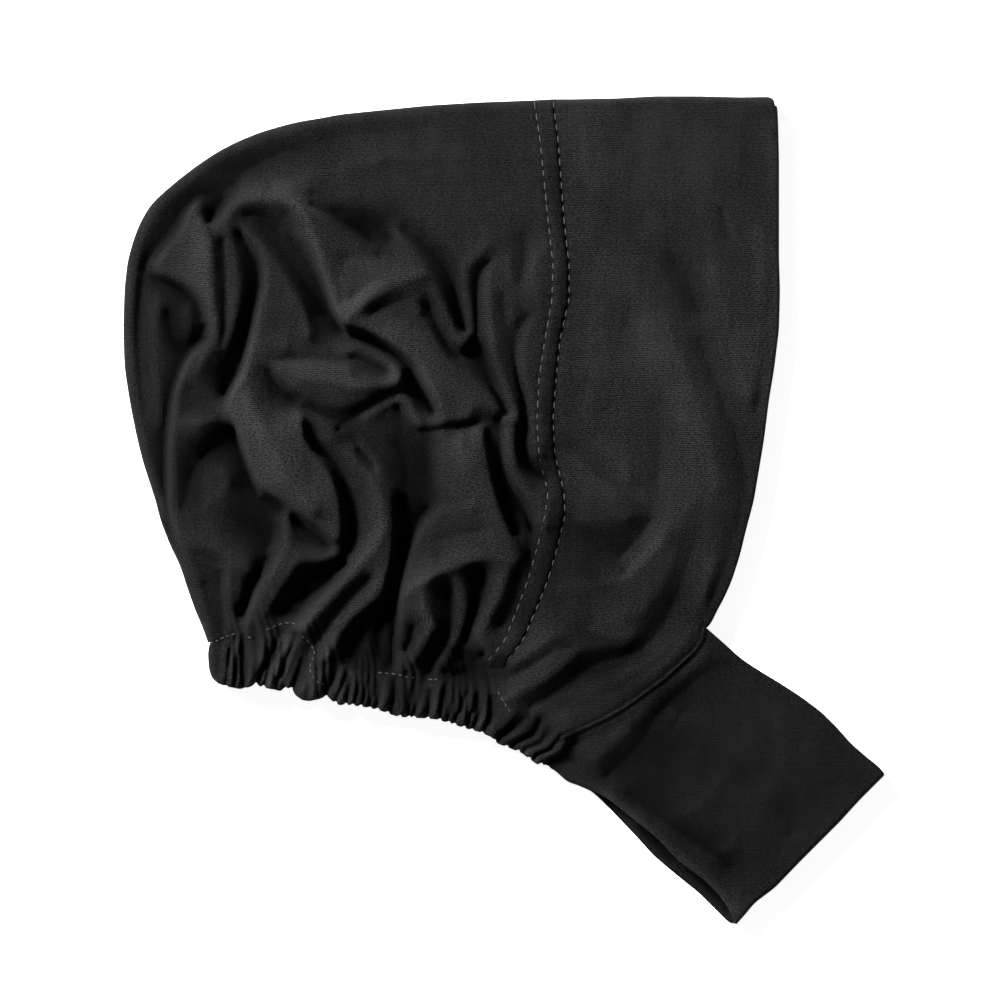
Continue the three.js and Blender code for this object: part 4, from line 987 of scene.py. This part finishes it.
def jersey(name, colour):
    """Fine cotton jersey: columns of loops, a soft fuzz and faint rumples, its colour darkened and
    lightened by painted light and shade.
    """
    material, start, shader = surface(
        name, Roughness=0.9, Specular_IOR_Level=0.03,
        Sheen_Weight=0.008, Sheen_Roughness=0.5, Sheen_Tint=(0.8, 0.78, 0.78, 1),
    )
    cloth = start.node("ShaderNodeUVMap", uv_map="cloth")
    place = start.node("ShaderNodeTexCoord", out="Object")
    u, v = (start.node("ShaderNodeSeparateXYZ", cloth, out=axis) for axis in "XY")
    across = (u / WALE).maths("PINGPONG", 0.5)
    loops = ((v / COURSE + across) * math.tau).maths("SINE") * 0.5 + 0.5
    gaps = (across * 2.0).maths("POWER", 3.0)
    stretched = start.node("ShaderNodeVectorMath", cloth, (1, 1.7, 1), operation="MULTIPLY")
    upright = start.node("ShaderNodeVectorMath", place, (2.4, 0.7, 1), operation="MULTIPLY")
    fuzz, rumple, patches, streaks = (
        start.node("ShaderNodeTexNoise", where, at={"Scale": scale, "Detail": detail, "Roughness": rough})
        for where, scale, detail, rough in (
            (stretched, 1150.0, 2.0, 0.6), (place, 130.0, 3.0, 0.5),
            (place, 60.0, 4.0, 0.6), (upright, 50.0, 3.0, 0.6),
        )
    )
    knit = loops * 0.7 - gaps * 0.3 + fuzz * 0.6
    relief = knit * KNIT_DEPTH + rumple * RUMPLE_DEPTH + streaks * STREAK_DEPTH
    # The painted shading: painted shade in hollows and creases, painted light on some crests.
    nap = start.node("ShaderNodeAttribute", attribute_name="nap", out="Fac")
    grain = loops * 1.2 + fuzz * 4.4 + patches * 1.0 + streaks * 0.8 - 2.7
    shades = {6: (0, 0, 0, 1), 7: (*colour, 1)}  # from black to the full colour
    tone = start.node("ShaderNodeMix", grain * nap, at=shades, out=2, data_type="RGBA", clamp_factor=False)
    tone.into(shader, "Base Color")
    start.node("ShaderNodeBump", at={"Strength": 1, "Distance": 1, "Height": relief}).into(shader, "Normal")
    return material


hem = evenly(HEM, step=1, soften=8)
joint = int(np.argmin(np.hypot(*(hem - table(CROWN_SEAM[0])).T)))  # where the crown seam meets the hem
seam = np.concatenate([[hem[joint]], evenly(CROWN_SEAM, step=1.5, soften=5)[2:]])
crown_jersey = jersey("crown_jersey", WORN_BLACK)
crown_edge = np.concatenate([evenly(HEM_START, step=2)[:-1], hem[: joint + 1], seam[1:]])
crown = folded_sheet(
    "crown_cloth", evenly(CROWN_RIM, step=3, soften=6), crown_edge, crown_edge,
    wall=0.9, roll=10, swells=([0], [0]), material=crown_jersey,
)
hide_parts("crown")
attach(crown, "root")

# The front band: a panel of doubled jersey that frames the face, sewn to the crown with a raised seam.
# It lies folded at the top of the head, open at the face and at the neck, its front edge turned in.
BAND_RIM = [
    (775, 105), (774, 99), (769, 96.5), (740, 97), (700, 96), (655, 96), (620, 98), (575, 99), (553, 99),
]
BAND_FRONT = [
    (704, 628), (710, 622), (714, 612), (722, 598), (730, 580), (738, 555), (744, 530), (752, 500),
    (757, 470), (762, 440), (767, 400), (772, 370), (777, 330), (778, 290), (777, 260), (777, 160),
    (776, 120), (775, 105),
]
TURNED_EDGE = 0.5  # how far the folded edge of two plies rounds out, as a share of the wall
strap_seam = evenly([(563, 732), *STRAP_SEAM[-2::-1]], step=1.5, soften=5)
band_jersey = jersey("band_jersey", WORN_BLACK)
band_sewn = np.concatenate([seam[::-1], hem[joint + 1 :], strap_seam[1:]])
band_edge = np.concatenate([band_sewn, evenly(BAND_FRONT, step=2, soften=5)[1:]])
band_swell = (np.arange(len(band_edge)) > len(band_sewn)) * TURNED_EDGE
band = folded_sheet(
    "front_band_cloth", evenly(BAND_RIM, step=2.5, soften=1.5), band_edge, band_edge,
    wall=1.4, roll=7, swells=(band_swell, band_swell), material=band_jersey,
)
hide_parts("front_band")
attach(band, "root")

# The chin strap: a loop of doubled jersey that passes under the chin, its ends sewn to both layers of the
# front band. It lies flat, folded across its middle at the lower right, its long edges turned in.
STRAP_FACE = [
    (884, 776), (878, 768), (865, 758), (850, 745), (835, 728), (820, 713), (800, 698), (780, 685),
    (760, 673), (740, 660), (720, 642), (704, 628),
]
STRAP_NECK = [
    (545, 764), (555, 768), (568, 780), (592, 788), (610, 798), (640, 822), (660, 838), (680, 860),
    (705, 878), (720, 893), (730, 908), (737, 924),
]
STRAP_NECK_FAR = [
    (545, 764), (555, 768), (568, 780), (592, 790), (600, 797), (615, 812), (635, 833), (655, 855),
    (675, 872), (700, 892), (720, 912), (730, 922), (737, 924),
]
STRAP_MIDDLE = [
    (737, 924), (745, 915), (755, 903), (775, 888), (800, 862), (820, 842), (840, 822), (860, 800),
    (884, 776),
]
STRAP_CORNER = [(563, 732), (545, 764)]  # where the casing ends against it
DEEP_BLACK = (0.0127, 0.0125, 0.0125)  # a darker black for the strap than for the rest
strap_jersey = jersey("strap_jersey", DEEP_BLACK)
strap_face = evenly(STRAP_FACE, step=2, soften=4)
strap_sewn = np.concatenate([strap_seam[-2::-1], evenly(STRAP_CORNER, step=2)[1:]])
strap_edges, strap_swells = [], []
for neck in (STRAP_NECK, STRAP_NECK_FAR):
    edge = np.concatenate([strap_face, strap_sewn, evenly(neck, step=2, soften=3)[1:]])
    at = np.arange(len(edge)) - len(strap_face)
    strap_edges.append(edge)
    strap_swells.append(((at < 0) | (at > len(strap_sewn) + 2)) * TURNED_EDGE)
strap = folded_sheet(
    "chin_strap_cloth", evenly(STRAP_MIDDLE, step=3, soften=3), *strap_edges,
    wall=1.3, roll=4, swells=strap_swells, material=strap_jersey,
)
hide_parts("chin_strap")
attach(strap, "root")

# The nape casing: the neck edge of crown and band, turned up round a narrow elastic, stitched down and
# drawn in by it to ruffles. It is one tube: along the near layer, where the creases are traced, round the
# back of the neck, and back along the far layer on the table.
CASING_FOOT = [
    (221, 683), (225, 685), (241, 688), (250, 686), (257, 683), (262, 686), (272, 688), (281, 690),
    (286, 687), (292, 687), (296, 694), (303, 699), (310, 700), (320, 698), (328, 695), (335, 702),
    (340, 704), (350, 704), (365, 706), (380, 709), (390, 713), (400, 716), (420, 717), (435, 718),
    (450, 722), (465, 727), (480, 731), (492, 736), (497, 742), (510, 747), (522, 752), (530, 758),
    (537, 763), (545, 764),
]
CASING_ROLL = 7  # pixels of plan in the roll of its lower edge
CASING_FLOOR, CASING_MIDDLE = 10.1, 12.7  # the underside of the near part, and the middle of its tube
TUCK_NOTCH, TUCK_WIDTH, TUCK_SWELL = 2.6, 1.7, 0.9  # pixels, where a crease meets the edge
FAR_HALF, TURN_RADIUS = 2.6, 5.05  # half the thickness of the far part, and the turn at the back
TOP_STEPS, ROUND_STEPS, UNDER_STEPS, TURN_STEPS = 18, 9, 4, 14  # faces round the tube and round the turn
casing_jersey = jersey("casing_jersey", WORN_BLACK)
foot = evenly(CASING_FOOT, step=1, soften=1)
foot = between(foot, np.linspace(0, 1, len(foot)), np.linspace(0, 1, len(hem)))
down = foot - hem
depth = np.hypot(*down.T)
down /= depth[:, None]
tucks = table([line[-1] for line in CREASES])
to_tuck = np.hypot(*np.moveaxis(foot[:, None] - tucks[None], 2, 0)).min(axis=1)
depth += TUCK_SWELL - TUCK_NOTCH * bell(to_tuck, TUCK_WIDTH)

# The near part's rows, from the hem down its face, round the edge and back underneath.
rows = []
for share in np.linspace(0, 1, TOP_STEPS + 1):
    flat = hem + down * (share * (depth - CASING_ROLL))[:, None]
    rows.append((flat, look_up(LIE, flat)))
edge_height = rows[-1][1]
for step in range(1, ROUND_STEPS + 1):
    angle = math.pi * (0.5 - step / ROUND_STEPS)
    flat = hem + down * (depth - CASING_ROLL + CASING_ROLL * math.cos(angle))[:, None]
    middle, half = (edge_height + CASING_FLOOR) / 2, (edge_height - CASING_FLOOR) / 2
    rows.append((flat, middle + half * math.sin(angle)))
for share in np.linspace(1, 0, UNDER_STEPS + 1)[1:]:
    flat = hem + down * (0.5 + share * (depth - CASING_ROLL - 0.5))[:, None]
    rows.append((flat, np.full(len(hem), CASING_FLOOR)))
near_flat, near_z = np.array([flat for flat, _ in rows]), np.array([z for _, z in rows])
cloth = Cloth()
rings = [cloth.add(near_flat[:, i], near_z[:, i]) for i in range(len(hem) - 1, -1, -1)]

# Round the back of the neck, where the tube turns over and flattens to the far part's plain section.
ring_depth = np.einsum("rk,k->r", near_flat[:, 0] - hem[0], down[0])
thickness = near_z[:, 0] - CASING_MIDDLE
plain = FAR_HALF * np.concatenate([
    np.sqrt(np.linspace(0.6, 1, TOP_STEPS + 1)),
    np.sin(np.linspace(math.pi / 2, -math.pi / 2, ROUND_STEPS + 1)[1:]),
    np.full(UNDER_STEPS, -1),
])
back = (hem[0] - hem[6]) / np.hypot(*(hem[0] - hem[6]))  # the way that the hem runs out
drawn_in = np.sqrt(np.clip(1 - (ring_depth / depth[0]) ** 2.2, 0.03, 1))
for lean in np.linspace(math.pi / 2, -math.pi / 2, TURN_STEPS + 1)[1:]:
    share = 0.5 - 0.5 * math.sin(lean)
    thick = thickness * (1 - share) + plain * share
    out = (TURN_RADIUS + thick) * math.cos(lean) / MM_PER_PIXEL * drawn_in
    flat = hem[0] + down[0] * ring_depth[:, None] + back * out[:, None]
    rings.append(cloth.add(flat, FAR_HALF + TURN_RADIUS * (1 + math.sin(lean)) + thick * math.sin(lean)))

# The far part, plain and low, with a faint wave along it.
for i in range(3, len(hem), 3):
    wave = abs(0.12 * math.sin(i * 0.9) + 0.1 * math.sin(i * 0.37))
    flat = hem[i] + down[i] * (ring_depth * depth[i] / depth[0])[:, None]
    rings.append(cloth.add(flat, FAR_HALF - plain * (1 - wave * (plain < 0))))
for a, b in zip(rings[:-1], rings[1:]):
    cloth.strip(np.append(a, a[0]), np.append(b, b[0]))
cloth.faces += [rings[0].tolist(), rings[-1][::-1].tolist()]
casing = cloth.build("nape_casing_cloth", casing_jersey)
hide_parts("nape_casing")
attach(casing, "root")

# The stitches: dark grey cotton thread, in the two rows of a twin needle down the crown seam and in one
# row along the casing, which shows only where the folds leave it free. Each stitch is a short thread end
# to end with the next, pulled into the jersey.
CASING_PITCH = 6.4  # pixels, as STITCH_PITCH is on the crown seam
UNEVEN_PLACE = 0.8  # pixels either way, on the crown seam
THREAD_REACH, THREAD_LIFT = 2, 0.0001  # pixels to either side that it leans on, and metres off the cloth
SEAM_ROWS = [list(zip(ROW_LEFT, SEAM_Y)), list(zip(ROW_RIGHT, SEAM_Y))]
CASING_ROWS = [
    [(209, 643), (215, 642), (222, 638), (228, 636), (237, 633)],
    [(247, 636), (254, 638)],
    [(266, 630), (275, 626), (283, 623), (290, 622), (297, 624)],
    [(301, 635), (306, 638), (312, 645), (316, 654), (311, 662), (310, 670), (315, 678), (320, 684),
     (327, 683)],
    [(377, 672), (398, 674), (405, 676), (417, 678)],
    [(428, 679), (439, 679)],
    [(497, 690), (500, 695), (505, 703), (511, 713)],
]


def upright(place):
    """The way up from the cloth at a place."""
    dx, dy = (look_up(LIE, place + step) - look_up(LIE, place - step) for step in ((1, 0), (0, 1)))
    normal = np.array([-dx[0], -dy[0], 2 * MM_PER_PIXEL])
    return normal / np.linalg.norm(normal)


rng = np.random.default_rng(7)
middles, ways, ups, lengths = [], [], [], []
for row in SEAM_ROWS + CASING_ROWS:
    pitch = STITCH_PITCH if row in SEAM_ROWS else CASING_PITCH
    length = pitch / STITCH_PITCH
    line = evenly(row, step=1, soften=3 if len(row) > 4 else 0)
    count = max(1, round((len(line) - 1) / pitch))
    for k in range(count):
        middle = (k + 0.5) / count * (len(line) - 1) + rng.uniform(-UNEVEN_PLACE, UNEVEN_PLACE) * length
        flat = between(line, range(len(line)), middle + np.array([-THREAD_REACH, 0, THREAD_REACH]))
        before, here, after = np.column_stack([flat * PIXEL, look_up(LIE, flat) * 0.001])
        middles.append(here + (0, 0, THREAD_LIFT))
        ways.append(after - before)
        ups.append(upright(flat[1:2]))
        lengths.append(length)
points = bpy.data.meshes.new("stitches")
points.from_pydata([tuple(p) for p in middles], [], [])
for name, kind, field, values in (
    ("way", "FLOAT_VECTOR", "vector", ways),
    ("up", "FLOAT_VECTOR", "vector", ups),
    ("length", "FLOAT", "value", lengths),
):
    points.attributes.new(name, kind, "POINT").data.foreach_set(field, np.ravel(values))
stitches = put("stitches", points)

thread, start, shader = surface("thread", Roughness=0.8)
place = start.node("ShaderNodeTexCoord", out="Object")
strands = start.node("ShaderNodeTexNoise", place, at={"Scale": 5000.0, "Detail": 2.0, "Roughness": 0.5})
shades = {6: (0.010, 0.010, 0.010, 1), 7: (0.036, 0.036, 0.037, 1)}  # between strands and on them
tone = start.node("ShaderNodeMix", strands * 0.7 + 0.4, at=shades, out=2, data_type="RGBA")
tone.into(shader, "Base Color")

tree = bpy.data.node_groups.new("stitching", "GeometryNodeTree")
tree.interface.new_socket("Geometry", in_out="INPUT", socket_type="NodeSocketGeometry")
stitch_inputs = {
    name: tree.interface.new_socket(name, in_out="INPUT", socket_type="NodeSocketFloat")
    for name in ("Stitch length", "Thread thickness", "Unevenness")
}
tree.interface.new_socket("Geometry", in_out="OUTPUT", socket_type="NodeSocketGeometry")
start = Wire(tree)
source = tree.nodes.new("NodeGroupInput")
places, length, thickness, unevenness = (Wire(tree, socket) for socket in source.outputs[:4])
way, up, own_length = (
    start.node("GeometryNodeInputNamedAttribute", name, data_type=kind)
    for name, kind in (("way", "FLOAT_VECTOR"), ("up", "FLOAT_VECTOR"), ("length", "FLOAT"))
)
turn = start.node("FunctionNodeAxesToRotation", way, up, primary_axis="X", secondary_axis="Z")
span = {2: 1 - unevenness, 3: 1, "Seed": 3}  # the shortest stitch and the longest
uneven = start.node("FunctionNodeRandomValue", at=span, out=1, data_type="FLOAT")
size = start.node("ShaderNodeCombineXYZ", length * uneven * own_length, thickness, thickness)
stitch = start.node("GeometryNodeMeshUVSphere", 12, 8, 0.5)
placed = start.node(
    "GeometryNodeInstanceOnPoints", places, at={"Instance": stitch, "Rotation": turn, "Scale": size}
)
real = start.node("GeometryNodeRealizeInstances", placed)
dyed = start.node("GeometryNodeSetMaterial", real, at={"Material": thread})
dyed.into(tree.nodes.new("NodeGroupOutput"), 0)
modifier = stitches.modifiers.new("stitching", "NODES")
modifier.node_group = tree
for name, value in (("Stitch length", 0.0030), ("Thread thickness", 0.00045), ("Unevenness", 0.25)):
    modifier[stitch_inputs[name].identifier] = value
bpy.context.view_layer.update()
sewn_mesh = bpy.data.meshes.new_from_object(stitches.evaluated_get(bpy.context.evaluated_depsgraph_get()))
stitches.modifiers.remove(modifier)
stitches.data = sewn_mesh
sewn_mesh.shade_smooth()
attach(stitches, "root")

# The table and the light: a pale matt table top under the cap, and one large soft lamp from the upper
# left with a faint even light from all round. The view is straight down from far off.
TABLE_HALF, TABLE_TOP = 4, -0.0003  # metres
corners = [(x * TABLE_HALF, y * TABLE_HALF, TABLE_TOP) for x, y in ((-1, -1), (1, -1), (1, 1), (-1, 1))]
floor_mesh = bpy.data.meshes.new("floor")
floor_mesh.from_pydata(corners, [], [(0, 1, 2, 3)])
floor_paint, _, _ = surface(
    "floor_paint", Base_Color=(0.86, 0.86, 0.86, 1), Roughness=0.9,
    Emission_Color=(1, 1, 1, 1), Emission_Strength=0.9,
)
floor_mesh.materials.append(floor_paint)
floor = put("floor", floor_mesh)

scene = bpy.context.scene
scene.world = bpy.data.worlds.new("studio")
scene.world.use_nodes = True
background = scene.world.node_tree.nodes["Background"]
background.inputs["Color"].default_value = (1, 1, 1, 1)
background.inputs["Strength"].default_value = 0.1
lamp = put("key", bpy.data.lights.new("key", "AREA"))
lamp.data.size, lamp.data.energy = 0.8, 250
lamp.location = (-1.55, 1.35, 1.55)
lamp.rotation_euler = lamp.location.to_track_quat("Z", "Y").to_euler()

LENS, SENSOR = 300, 36
VIEW_MIDDLE, VIEW_WIDTH = (500, 500), 1000  # pixels
WIDEST_HEIGHT = 0.006  # metres, where the cap is widest
camera = put("camera", bpy.data.cameras.new("camera"))
camera.data.lens, camera.data.sensor_width, camera.data.clip_end = LENS, SENSOR, 50
camera.location = (*table(VIEW_MIDDLE) * PIXEL, VIEW_WIDTH * PIXEL * LENS / SENSOR + WIDEST_HEIGHT)
scene.camera = camera
scene.view_settings.view_transform = "Standard"
